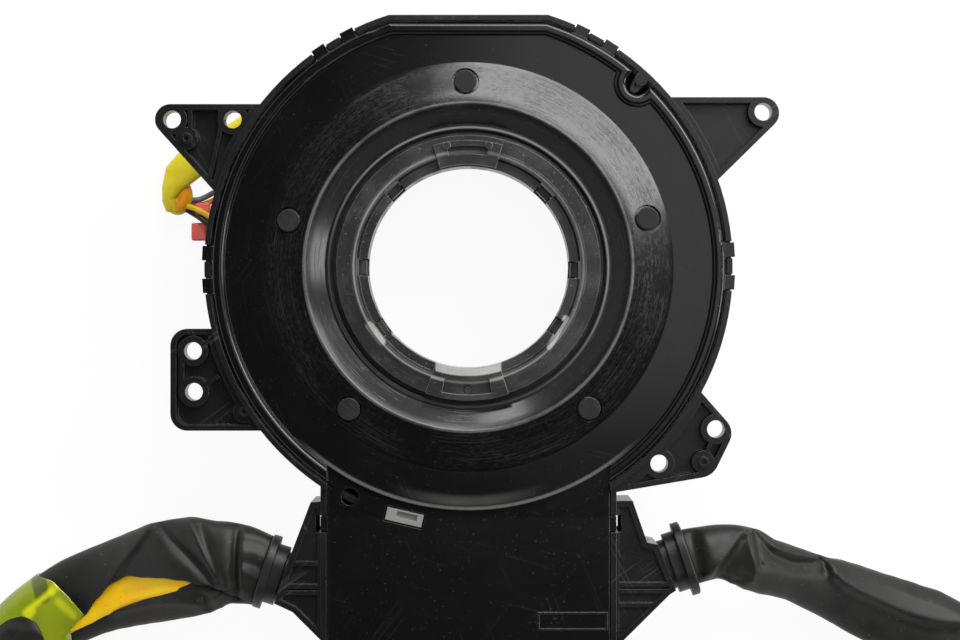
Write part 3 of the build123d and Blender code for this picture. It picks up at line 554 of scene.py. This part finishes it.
def squashed_tube(name, line, table, folds, wall, around, first=0.0, last=1e9, edge=None):
    """A squashed tube along a line. Each row of its table has the distance along, how far it reaches to either
    side of the line, and its heights over and under it. With two more values, the lips of a split in its upper
    face, it is an open sheet with a wall, and the first lip lies over the second where they pass each other."""
    spans = [(b - a).length for a, b in zip(line, line[1:])]
    ends = [sum(spans[:i]) for i in range(len(line))]
    hand = 1 if line[1].x > line[0].x else -1

    def station(distance):
        """The line's place at a distance along it, and the way to its upper side in the picture."""
        i = min(max(bisect.bisect_right(ends, distance) - 1, 0), len(spans) - 1)
        share = (distance - ends[i]) / spans[i]
        ways = [line[min(j + 1, len(spans))] - line[max(j - 1, 0)] for j in (i, i + 1)]
        along = ways[0].normalized().lerp(ways[1].normalized(), max(0.0, min(1.0, share)))
        return line[i].lerp(line[i + 1], share), Vector((-along.y, along.x, 0)).normalized() * hand

    verts, loops = [], []
    for travelled in [end for end in ends if first <= end <= last]:
        row = between(table, travelled)
        reach, back, over, under = row[:4]
        middle, half = (reach - back) / 2, (reach + back) / 2
        split = len(row) > 4
        if split:
            lips = [math.acos(max(-1.0, min(1.0, (lip - middle) / half))) for lip in row[4:6]]
            sweep = lips[0] + 2 * math.pi - lips[1]
            angles = [lips[1] - 2 * math.pi + sweep * k / (around - 1) for k in range(around)]
        else:
            angles = [2 * math.pi * k / around for k in range(around)]
        ring = []
        for skin in (0.0, wall) if split else (0.0,):
            for angle in angles:
                across = middle + (half - skin) * math.cos(angle)
                rise = math.sin(angle)
                height = (over if rise > 0 else under) - skin
                tall = height * math.copysign(abs(rise) ** 0.85, rise)
                at, side = station(travelled - (edge(across) if edge else 0.0))
                place = at + side * across
                if rise > 0:
                    tall += rise ** 0.6 * fold_height(place.x, place.y, folds)
                    if split:
                        tall += rise ** 0.5 * (LIP_RISE if angle > 0 else -LIP_SINK)
                ring.append(Vector((place.x, place.y, at.z + tall)) * MM)
        if split:
            ring = ring[:around] + ring[around:][::-1]
        loops.append(range(len(verts), len(verts) + len(ring)))
        verts += ring
    faces = []
    for a, b in zip(loops, loops[1:]):
        count = len(a)
        faces += [(a[k], a[(k + 1) % count], b[(k + 1) % count], b[k]) for k in range(count)]
    for loop in (loops[0], loops[-1]):
        count = len(loop)
        if split:
            faces += [(loop[k], loop[k + 1], loop[count - 2 - k], loop[count - 1 - k]) for k in range(count // 2 - 1)]
        else:
            faces.append(tuple(loop))
    return closed_piece(name, verts, faces)


SLEEVE_Z = -29.5
LEFT_ROUTE = [
    (-46.2, -67.8, -9.25), (-51.4, -66.15, -9.25), (-58.0, -65.9, -9.7), (-67.6, -68.4, -14.0), (-78.0, -71.6, -21.5),
    (-88.6, -76.0, -27.0), (-99.0, -82.0, -29.0), (-107.6, -90.3, SLEEVE_Z), (-113.4, -100.3, SLEEVE_Z),
    (-116.4, -110.6, SLEEVE_Z), (-117.2, -121.0, SLEEVE_Z), (-116.6, -131.2, SLEEVE_Z),
]
# Distance along, reach up and down the picture, height over and under, then the split's upper and lower lips
LEFT_SHAPE = [
    (0, 8.0, 8.2, 4.2, 4.2, -7.6, -4.6), (5, 8.8, 9.0, 4.4, 4.2, -6.9, -4.0), (10, 9.2, 10.4, 4.4, 4.2, -5.9, -3.3),
    (15, 10.9, 11.3, 4.3, 4.4, -4.4, -3.3), (20, 11.3, 11.4, 4.2, 4.6, -2.4, -4.0),
    (25, 11.5, 11.2, 4.2, 4.8, -0.9, -4.3), (30, 11.0, 11.0, 4.2, 5.2, 0.2, -4.6),
    (35, 10.6, 10.6, 4.2, 5.6, 1.7, -4.9), (40, 10.4, 10.1, 4.2, 5.8, 1.1, -5.1), (45, 10.4, 9.5, 4.2, 6.2, -0.9, -5.4),
    (50, 10.5, 9.0, 4.2, 6.4, -3.2, -5.8), (56, 10.2, 8.6, 4.2, 6.4, -4.6, -5.4), (64, 9.2, 8.4, 4.2, 6.4, -4.9, -4.4),
    (80, 8.4, 8.0, 4.4, 6.4, -4.8, -3.8), (116, 7.5, 7.5, 4.5, 6.4, -4.5, -3.4),
]
TAPE_STEP = [(-80.0, -69.6), (-78.2, -67.2), (-74.9, -62.9), (-71.5, -57.9)]
LEFT_FOLDS = [
    ("step", 1.3, 0.9, TAPE_STEP),
    ("fold", -1.9, 1.6, [(-69.7, -57.6), (-66.9, -60.8), (-62.7, -64.8), (-59.0, -68.2), (-57.1, -70.6)]),
    ("fold", 1.2, 1.5, [(-63.0, -56.5), (-60.8, -59.8), (-58.3, -65.3), (-56.7, -69.1)]),
    ("fold", -0.9, 1.2, [(-60.1, -57.7), (-58.5, -62.6), (-56.4, -67.5), (-55.5, -70.4)]),
    ("fold", -1.8, 1.1, [(-51.4, -56.7), (-52.0, -61.8), (-52.3, -68.5), (-51.8, -73.2)]),
    ("fold", 0.7, 1.3, [(-50.5, -57.1), (-50.8, -65.1), (-50.5, -72.2)]),
    ("fold", 0.2, 0.8, [(-50.3, -59.3), (-47.8, -59.3), (-45.1, -60.2)]),
    ("fold", -0.25, 0.8, [(-50.3, -61.1), (-47.8, -61.3), (-45.6, -62.2)]),
    ("fold", 0.2, 0.8, [(-50.5, -63.1), (-47.8, -63.5), (-45.8, -64.6)]),
    ("fold", -0.25, 0.8, [(-50.5, -65.3), (-47.8, -66.0), (-46.0, -67.1)]),
    ("fold", 0.2, 0.9, [(-50.5, -67.6), (-48.2, -68.7), (-46.5, -70.0)]),
    ("fold", 0.7, 4.0, [(-74.9, -65.4), (-68.6, -65.9)]),
    ("fold", 0.9, 1.2, [(-81.2, -78.6), (-72.4, -76.0), (-66.2, -75.2), (-60.6, -75.5)]),
    ("fold", 1.0, 1.1, [(-57.1, -74.0), (-55.5, -72.8)]),
    ("fold", -1.0, 1.1, [(-59.4, -73.8), (-58.7, -76.1)]),
]


def sleeve_finish():
    """Black PVC film: smooth, a little waxy, with fine wrinkles, a mottled tone and specks of dust."""
    made = Finish("sleeve_pvc", Specular_IOR_Level=0.34)
    cloudy = made.noise(160, 4.0, 0.6)
    fine = made.noise(1900, 2.0)
    wrinkled = made.noise(1.0, 3.0, 0.55, made.stretched((420.0, 150.0, 150.0), (0.0, 0.0, 0.35)))
    specks = made.noise(1400, 1.0, 0.4).above(0.74, 0.02)
    base = made.mix(cloudy.above(0.5, 0.2) * 0.5, (0.0085, 0.0085, 0.0082), (0.018, 0.0182, 0.0152))
    made.set("Base Color", made.mix(specks * 0.35, base, DUST))
    made.set("Roughness", 0.48 + 0.2 * (cloudy - 0.5) + 0.06 * (fine - 0.5))
    made.set("Normal", made.bumps(wrinkled + fine * 0.12, 0.00012, 0.5))
    return made


sleeve_pvc = sleeve_finish()
left_line = read_route("left_route", LEFT_ROUTE)
left_sleeve = squashed_tube("left_sleeve_film", left_line, LEFT_SHAPE, LEFT_FOLDS, 0.45, around=130)
dress(left_sleeve, sleeve_pvc)
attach(left_sleeve, "stator")
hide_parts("left_sleeve")


def yellow_pvc(name, deep, light, mouth=None):
    """Yellow PVC tube, slightly see-through: clouds of deeper and lighter yellow, a little dirt, and a deeper orange
    band along its mouth where one is given.
    """
    made = Finish(name, Specular_IOR_Level=0.35)
    cloudy = made.noise(150, 3.0)
    specks = made.noise(1300, 1.0, 0.4).above(0.735, 0.02)
    base = made.mix(specks * 0.15, made.mix(cloudy.above(0.45, 0.2), deep, light), (0.2, 0.14, 0.03))
    if mouth:
        base = made.mix(made.stripe(*mouth, 0.0016, 0.0008), base, (0.75, 0.28, 0.003))
    made.set("Base Color", base)
    made.set("Roughness", 0.42 + 0.2 * (cloudy - 0.5))
    made.set("Normal", made.bumps(made.noise(500, 3.0), 0.0001, 0.4))
    return made


INNER_SHAPE = [
    (14, 2.0, 6.8, 2.4, 2.6), (20, 3.4, 7.0, 3.4, 2.8), (30, 4.6, 7.2, 3.8, 3.0), (42, 4.8, 7.0, 3.7, 3.4),
    (56, 4.2, 6.8, 3.5, 3.6), (64, 4.0, 6.6, 3.3, 3.6), (114, 5.5, 5.5, 3.2, 3.8),
]
INNER_FOLDS = [
    ("fold", 0.5, 0.9, [(-66.0, -72.2), (-76.8, -75.4), (-83.0, -79.0)]),
    ("fold", -0.5, 1.0, [(-70.0, -71.5), (-79.0, -74.5)]),
]
inner_yellow = squashed_tube("left_inner_tube", left_line, INNER_SHAPE, INNER_FOLDS, 0.4, around=48, first=13.0,
                             last=112.0)
dress(inner_yellow, yellow_pvc("inner_tube_pvc", (1.0, 0.52, 0.0), (1.0, 0.64, 0.0)))
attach(inner_yellow, "stator")

# The tape's dark patch and its doubled streaks: both ends in plan, half the width, and how much they show
TAPE_DARK = ((-0.0999, -0.0712), (-0.0984, -0.0752), 0.0019)
TAPE_STREAKS = [
    ((-0.1025, -0.0792), (-0.0962, -0.0742), 0.0006, 0.85), ((-0.0962, -0.0742), (-0.0945, -0.0722), 0.0009, 0.6),
    ((-0.1018, -0.0802), (-0.1008, -0.0788), 0.0008, 0.7), ((-0.0945, -0.0765), (-0.0912, -0.0795), 0.0009, 0.5),
]


def tape_finish():
    """Yellow tape, which is see-through: green over black, yellow over yellow and where it is doubled."""
    made = Finish("mending_tape", Coat_Weight=0.3, Coat_Roughness=0.15)
    cloudy = made.noise(90, 3.0)
    base = made.mix(cloudy.above(0.4, 0.25), (0.15, 0.2, 0.005), (0.22, 0.27, 0.007))
    base = made.mix(made.stripe(*TAPE_DARK, 0.0004) * 0.85, base, (0.05, 0.07, 0.012))
    for start, end, reach, strength in TAPE_STREAKS:
        base = made.mix(made.stripe(start, end, reach, 0.0007) * strength, base, (0.62, 0.62, 0.01))
    made.set("Base Color", base)
    made.set("Roughness", 0.28 + 0.2 * (cloudy - 0.5))
    made.set("Normal", made.bumps(cloudy, 0.0004, 0.4))
    return made


TAPE_START = 58.0
# The tape's slanting edge: place across the sleeve, and distance along it
TAPE_EDGE = [(-8.9, 58.0), (-5.2, 57.0), (-3.9, 53.0), (-2.9, 50.0), (1.7, 51.1), (6.8, 52.8), (10.6, 56.0)]


def tape_edge(across):
    """How much earlier the tape's slanting edge lies, by the place across the sleeve."""
    return TAPE_START - between(TAPE_EDGE, across)[0]


TAPE_SHAPE = [
    (54, 10.7, 8.9, 6.1, 6.45), (62, 10.4, 8.8, 6.0, 6.45), (72, 10.1, 8.6, 5.6, 6.45), (86, 9.0, 8.4, 5.2, 6.45),
]
tape = squashed_tube("mending_tape_wrap", left_line, TAPE_SHAPE, [("step", 1.2, 0.9, TAPE_STEP)], 0.3, around=96,
                     first=TAPE_START, last=84.0, edge=tape_edge)
dress(tape, tape_finish())
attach(tape, "stator")

# A second black film is wrapped over the tape's far end, and on to the sleeve's end
WRAP_SHAPE = [
    (62, 8.2, 8.4, 5.4, 6.45), (64, 8.9, 8.7, 6.0, 6.45), (74, 9.0, 8.8, 6.2, 6.45), (90, 8.6, 8.5, 6.0, 6.45),
    (104, 8.2, 8.2, 5.6, 6.45), (109, 7.0, 7.0, 4.9, 6.4),
]
WRAP_FOLDS = [("fold", 0.8, 1.6, [(-98.5, -84.0), (-106.0, -83.2), (-112.0, -88.0)])]


def wrap_edge(across):
    """How much earlier the black wrap's bowed edge lies, by the place across the sleeve."""
    return 2.0 - min(9.0, 0.06 * (across - 1.0) ** 2)


end_wrap = squashed_tube("left_sleeve_end_wrap", left_line, WRAP_SHAPE, WRAP_FOLDS, 0.5, around=64, first=63.0,
                         last=109.0, edge=wrap_edge)
dress(end_wrap, sleeve_pvc)
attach(end_wrap, "stator")
cad["left_leads"]
cad["left_connector"]

RIGHT_ROUTE = [
    (49.55, -64.9, -9.25), (54.8, -63.2, -9.25), (61.4, -62.9, -9.7), (70.6, -65.2, -14.0), (80.8, -70.2, -21.5),
    (91.4, -76.0, -27.0), (103.0, -81.6, SLEEVE_Z), (113.0, -88.6, SLEEVE_Z), (120.0, -97.6, SLEEVE_Z),
    (123.8, -108.6, SLEEVE_Z), (124.8, -120.4, SLEEVE_Z), (124.2, -132.6, SLEEVE_Z),
]
RIGHT_SHAPE = [
    (0, 6.4, 6.3, 4.6, 4.4), (5, 5.8, 6.3, 4.6, 4.2), (10, 5.4, 7.9, 4.4, 4.2), (15, 4.9, 9.0, 4.6, 4.3),
    (20, 3.5, 9.3, 4.4, 4.5), (25, 3.5, 8.9, 4.0, 4.8), (30, 3.8, 8.5, 3.8, 5.2), (35, 4.3, 8.6, 3.8, 5.6),
    (40, 5.5, 8.6, 3.8, 5.8), (45, 6.3, 8.7, 3.8, 6.0), (50, 6.9, 9.0, 3.8, 6.3), (55, 7.6, 9.1, 3.8, 6.4),
    (60, 8.4, 9.2, 3.8, 6.4), (65, 9.6, 8.8, 3.8, 6.4), (72, 10.4, 8.0, 4.0, 6.4), (90, 9.0, 7.6, 4.4, 6.4),
    (122, 7.5, 7.5, 4.6, 6.4),
]
RIGHT_FOLDS = [
    ("fold", 1.7, 1.3, [(61.6, -58.4), (58.3, -62.8), (55.6, -66.0), (54.0, -68.4)]),
    ("fold", -2.3, 2.4, [(60.9, -60.8), (59.0, -64.1), (57.4, -67.8)]),
    ("fold", 1.5, 1.3, [(63.0, -58.5), (63.4, -62.7), (64.4, -67.3), (63.3, -69.9)]),
    ("fold", -1.2, 1.6, [(60.2, -68.9), (62.6, -69.2)]),
    ("fold", -1.5, 1.0, [(63.9, -58.7), (64.7, -63.0), (65.3, -66.7)]),
    ("fold", -2.3, 2.0, [(64.7, -59.7), (66.7, -62.5), (69.1, -64.7), (73.8, -66.7), (78.3, -67.0), (81.1, -66.4)]),
    ("fold", 1.1, 1.6, [(68.9, -62.9), (74.1, -64.8), (79.1, -65.8)]),
    ("fold", -1.6, 2.4, [(49.8, -60.2), (50.9, -65.1), (52.2, -69.6)]),
    ("fold", 0.7, 1.8, [(52.4, -59.5), (53.6, -64.4), (52.9, -68.7)]),
    ("fold", -1.5, 1.1, [(81.1, -65.9), (81.8, -68.5)]),
    ("step", 2.5, 1.5, [(81.3, -67.1), (83.3, -70.4), (85.7, -72.7), (89.0, -74.7), (92.7, -76.5), (96.2, -78.2),
                        (99.5, -79.7), (103.0, -81.0), (106.3, -81.9), (110.2, -82.5), (113.7, -82.6),
                        (120.7, -82.8), (130.0, -81.6)]),
    ("fold", 0.4, 1.6, [(86.8, -67.3), (95.0, -71.8), (103.3, -75.8), (113.7, -79.3)]),
]
right_line = read_route("right_route", RIGHT_ROUTE)
right_sleeve = squashed_tube("right_sleeve_film", right_line, RIGHT_SHAPE, RIGHT_FOLDS, 0.45, around=120)
dress(right_sleeve, sleeve_pvc)
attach(right_sleeve, "stator")
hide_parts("right_sleeve")
cad["right_leads"]
cad["right_connector"]

# Plugs on the far ends: glass-filled nylon housings, each with its latch and its row of ways, and the bare leads
# that go into them. Six ribs moulded across the two large plugs give the fingers a grip.
PLUG_COLOURS = {
    "left_connector": (0.6, 0.42, 0.02), "right_connector": (0.01, 0.01, 0.01), "red_connector": (0.85, 0.13, 0.1),
    "squib_connector": (0.62, 0.42, 0.02), "left_leads": (0.02, 0.06, 0.2), "right_leads": (0.2, 0.03, 0.02),
}
RIB_COUNT = 6
RIB_PITCH = 0.0016
RIB_WIDTH = 0.0007
RIB_HEIGHT = 0.0005
RIBS_FROM_END = 0.0025
# The large plugs: each one's end in plan, its heading in degrees, the ribs' length, and the height of its top
RIBBED_PLUGS = {
    "left_connector": ((-0.11509, -0.14512), -83.8, 0.0165, -0.0235),
    "right_connector": ((0.12294, -0.14654), -95.2, 0.0195, -0.0245),
}
for name, colour in PLUG_COLOURS.items():
    dress(cad[name], moulded(name + "_plastic", colour, tuple(min(1.0, 1.3 * c + 0.03) for c in colour), 0.38))


def grip_ribs(made, given):
    """Ribs across the top of a plug, for the fingers, in line with it."""
    rib = made("GeometryNodeMeshCube", Size=given["Rib size"])
    row = made("GeometryNodeMeshLine", {"mode": "OFFSET"}, Count=given["Count"], Offset=given["Step"])
    spread = made("GeometryNodeInstanceOnPoints", Points=row, Instance=rib)
    turned = made("GeometryNodeTransform", Geometry=spread, Rotation=given["Turn"])
    return made("GeometryNodeTransform", Geometry=turned, Translation=given["Place"])


for name, (at, heading, width, top) in RIBBED_PLUGS.items():
    turn = math.radians(heading)
    start = (at[0] + RIBS_FROM_END * math.cos(turn), at[1] + RIBS_FROM_END * math.sin(turn), top)
    ribs = repeated(name + "_ribs", {
        "Count": RIB_COUNT, "Step": (RIB_PITCH, 0.0, 0.0), "Rib size": (RIB_WIDTH, width, 2 * RIB_HEIGHT),
        "Turn": (0.0, 0.0, turn), "Place": start}, grip_ribs, cad[name].data.materials[0])
    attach(ribs, "stator")

# Airbag leads: a yellow PVC tube from the rotor's tower that comes round behind the upper left ear, and the four
# wires out of it. Thin-wall wire, each in its own colour, held by crimped contacts in the two plugs.
TUBE_ROUTE = [
    (-30.9, 38.25, -27.5), (-37.84, 39.23, -27.5), (-45.3, 38.1, -30.4), (-52.0, 34.9, -33.5), (-57.6, 31.2, -33.5),
    (-62.8, 28.2, -33.5), (-67.0, 25.0, -33.5), (-69.4, 21.2, -33.5), (-70.0, 16.9, -33.5), (-68.8, 14.8, -33.5),
    (-67.2, 16.2, -33.5), (-67.2, 18.6, -33.5), (-68.4, 20.6, -33.7),
]
TUBE_THICK = 0.0044
TUBE_DEEP = (0.6, 0.48, 0.008)
TUBE_LIGHT = (0.7, 0.58, 0.018)
TUBE_MOUTH = ((-0.0675, 0.0155), (-0.0665, 0.019))


def round_cord(name, points, diameter, finish):
    piece = route(name, points)
    piece.data.bevel_depth = diameter / 2
    piece.data.bevel_resolution = 5
    piece.data.use_fill_caps = True
    dress(piece, finish)
    return piece


tube_yellow = yellow_pvc("tube_pvc", TUBE_DEEP, TUBE_LIGHT)
mouth_yellow = yellow_pvc("tube_mouth_pvc", TUBE_DEEP, TUBE_LIGHT, TUBE_MOUTH)
tube = round_cord("airbag_lead_tube", TUBE_ROUTE, TUBE_THICK, mouth_yellow)

# The tube's end is squashed flat and cut askew: its outer edge, then the rim of its mouth, from the top down. It
# lies at a height, bulges over and under it, and drops towards its lower end
PETAL_OUTER = [(-62.0, 31.2), (-67.8, 27.9), (-71.1, 24.1), (-72.0, 19.6), (-72.0, 16.1), (-71.1, 13.8), (-69.9, 13.5)]
PETAL_MOUTH = [(-57.6, 26.6), (-60.6, 24.2), (-62.7, 22.1), (-66.9, 19.0), (-68.8, 17.0), (-68.7, 15.0), (-68.5, 13.7)]
PETAL_Z = -30.9
PETAL_OVER = 2.1
PETAL_UNDER = 1.5
PETAL_DROP = 1.6


def petal():
    """The squashed end: two skins that meet along the outer edge and stand a little open at the mouth."""
    rows, around = 40, 48
    verts = []
    for r in range(rows + 1):
        down = r / rows
        (ax, ay), (bx, by) = [between([(i, *at) for i, at in enumerate(side)], (len(side) - 1) * down)
                              for side in (PETAL_OUTER, PETAL_MOUTH)]
        for k in range(around):
            angle = 2 * math.pi * (k + 0.5) / around
            share = 0.5 - 0.5 * math.cos(angle)
            bulge = PETAL_OVER if angle < math.pi else -PETAL_UNDER
            tall = bulge * abs(math.sin(angle)) ** 0.8 * (1 - 0.55 * down ** 3)
            place = Vector((ax + (bx - ax) * share, ay + (by - ay) * share, PETAL_Z - PETAL_DROP * down + tall))
            verts.append(place * MM)
    faces = [tuple(row * around + (k + shift) % around for row, shift in ((r, 0), (r, 1), (r + 1, 1), (r + 1, 0)))
             for r in range(rows) for k in range(around)]
    faces += [tuple(range(around)), tuple(range(rows * around, (rows + 1) * around))]
    return closed_piece("airbag_tube_end", verts, faces)


tube_end = petal()
dress(tube_end, tube_yellow)
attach(tube_end, "rotor")

# Each wire's colour, the length of its node in metres, and its route
WIRES = {
    "yellow_wire": ((0.75, 0.5, 0.01), 0.0362, [
        (-67.2, 15.4, -32.8), (-64.4, 14.6, -32.25), (-62.2, 13.5, -31.0), (-58.6, 11.2, -30.6), (-54.6, 8.0, -30.6),
        (-50.9, 4.8, -31.3), (-46.9, 1.5, -32.7), (-42.6, -8.74, -33.25), (-43.02, -11.71, -33.25)]),
    "black_wire": ((0.01, 0.01, 0.01), 0.033, [
        (-67.2, 14.7, -33.3), (-64.4, 13.15, -32.75), (-62.4, 11.8, -31.3), (-59.8, 9.5, -30.7), (-56.3, 7.2, -30.7),
        (-53.0, 4.6, -31.4), (-49.4, 1.44, -32.7), (-45.57, -8.32, -33.25), (-45.99, -11.29, -33.25)]),
    "grey_wire": ((0.1, 0.1, 0.11), 0.0426, [
        (-67.2, 16.8, -33.7), (-64.4, 16.4, -34.0), (-62.2, 17.3, -34.8), (-58.6, 19.5, -35.35), (-54.2, 21.6, -35.35),
        (-49.6, 22.8, -35.35), (-44.8, 22.6, -35.35), (-40.8, 18.6, -35.35), (-40.8, 13.0, -35.35),
        (-44.8, 9.0, -34.25), (-50.2, 9.0, -34.25)]),
    "orange_wire": ((0.7, 0.25, 0.02), 0.0343, [
        (-67.0, 15.9, -34.4), (-64.4, 15.4, -35.0), (-62.3, 15.7, -35.3), (-58.5, 17.6, -35.35), (-53.9, 19.5, -35.35),
        (-49.8, 20.7, -35.35), (-45.8, 20.6, -35.35), (-43.3, 18.1, -35.35), (-43.3, 14.5, -35.35),
        (-45.8, 12.0, -34.25), (-50.2, 12.0, -34.25)]),
}
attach(tube, "rotor")
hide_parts("airbag_tube")
for name, (colour, length, points) in WIRES.items():
    wire = round_cord(name + "_lead", points, 0.0013, moulded(name + "_skin", colour, colour, 0.35))
    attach(wire, "rotor")
    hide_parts(name)
    plug = "squib_connector" if name in ("yellow_wire", "black_wire") else "red_connector"
    [MM * v for v in points[0]]
    cad[plug]

# Red plug's locks: two thumb tabs at its mating end, moulded of the same red nylon in one piece with it, which clip
# over the airbag's socket. Their edges are rounded for the fingers.
LOCK_ROUND = 0.5
LOCKS = {
    "upper_lock": ((-64.3, 12.6, -34.6), (-60.9, 15.9, -31.8)),
    "lower_lock": ((-65.3, 7.0, -35.2), (-61.6, 11.2, -32.2)),
}
for name, (low_corner, high_corner) in LOCKS.items():
    form = bmesh.new()
    bmesh.ops.create_cube(form, size=1.0)
    for vert in form.verts:
        spread = [(a + b) / 2 + side * (b - a) for a, b, side in zip(low_corner, high_corner, vert.co)]
        vert.co = Vector(spread) * MM
    bmesh.ops.bevel(form, geom=form.edges[:], offset=LOCK_ROUND * MM, segments=3, affect="EDGES", profile=0.5)
    bmesh.ops.recalc_face_normals(form, faces=form.faces)
    mesh = bpy.data.meshes.new("red_plug_" + name)
    form.to_mesh(mesh)
    form.free()
    lock = bpy.data.objects.new("red_plug_" + name, mesh)
    bpy.context.scene.collection.objects.link(lock)
    lock.data.materials.append(cad["red_connector"].data.materials[0])
    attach(lock, "rotor")

# Studio: a pale paper floor, a long softbox up and to the right, two strips low at the right and the top, a panel
# overhead and one more that gives light but no reflection, and pale walls low around. The camera looks straight down.
FLOOR_Z = -0.036
FLOOR_REACH = 3.0
FILL_Z = 1.2
CENTRE = (0, 0, 0)


def lamp(name, at, aim, size, strength):
    """A soft rectangular lamp; strength is the brightness of its face, 1 being white."""
    data = bpy.data.lights.new(name, "AREA")
    data.shape = "RECTANGLE"
    data.size, data.size_y = size
    data.energy = strength * math.pi * size[0] * size[1]
    piece = bpy.data.objects.new(name, data)
    piece.location = at
    piece.rotation_euler = (Vector(aim) - Vector(at)).to_track_quat("-Z", "Y").to_euler()
    bpy.context.scene.collection.objects.link(piece)
    return piece


lamp("key_softbox", (0.385, 0.593, 0.707), CENTRE, (1.1, 0.4), 9.5)
lamp("right_strip", (1.11, -0.06, 0.45), CENTRE, (0.34, 0.3), 8.0)
lamp("top_strip", (-0.25, 1.09, 0.42), CENTRE, (0.34, 0.3), 8.0)
lamp("overhead_panel", (0.2975, 0.26, 1.1), (0.2975, 0.26, 0), (0.605, 0.675), 1.0)
fill = lamp("fill_panel", (0, 0, FILL_Z), CENTRE, (1.2, 1.2), 1.4)
fill.visible_glossy = False

floor = bpy.data.objects.new("floor", bpy.data.meshes.new("floor"))
corners = [(FLOOR_REACH * x, FLOOR_REACH * y, FLOOR_Z) for x, y in ((-1, -1), (1, -1), (1, 1), (-1, 1))]
floor.data.from_pydata(corners, [], [(0, 1, 2, 3)])
bpy.context.scene.collection.objects.link(floor)
paper = Finish("white_paper", Base_Color=(0.85, 0.85, 0.85), Roughness=0.9)
ray = paper.add("ShaderNodeLightPath")
shown = (ray["Is Camera Ray"] + ray["Is Glossy Ray"] + ray["Is Transmission Ray"]).limited()
glow = paper.add("ShaderNodeEmission", Color=(1, 1, 1), Strength=1.0).socket(0)
blend = paper.add("ShaderNodeMixShader", _0=shown * 0.93, _1=paper.shader.outputs[0], _2=glow).socket(0)
paper.tree.links.new(blend, paper.tree.nodes["Material Output"].inputs["Surface"])
dress(floor, paper)

studio = bpy.data.worlds.new("studio")
bpy.context.scene.world = studio
studio.use_nodes = True
walls = Nodes(studio.node_tree, "Generated")
_, _, height = walls.axes()
low_down = 1 - height.above(0.42, 0.2)
shade = walls.mix(low_down, (0.03, 0.03, 0.031), (0.9, 0.9, 0.92))
plug_in(studio.node_tree, studio.node_tree.nodes["Background"].inputs["Color"], shade)
studio.node_tree.nodes["Background"].inputs["Strength"].default_value = 1.0

camera = bpy.data.objects.new("camera", bpy.data.cameras.new("camera"))
camera.data.lens = 85.0
camera.data.sensor_width = 36.0
camera.location = (0.00254, -0.01164, 0.500)
bpy.context.scene.collection.objects.link(camera)
bpy.context.scene.camera = camera
bpy.context.scene.view_settings.view_transform = "Standard"
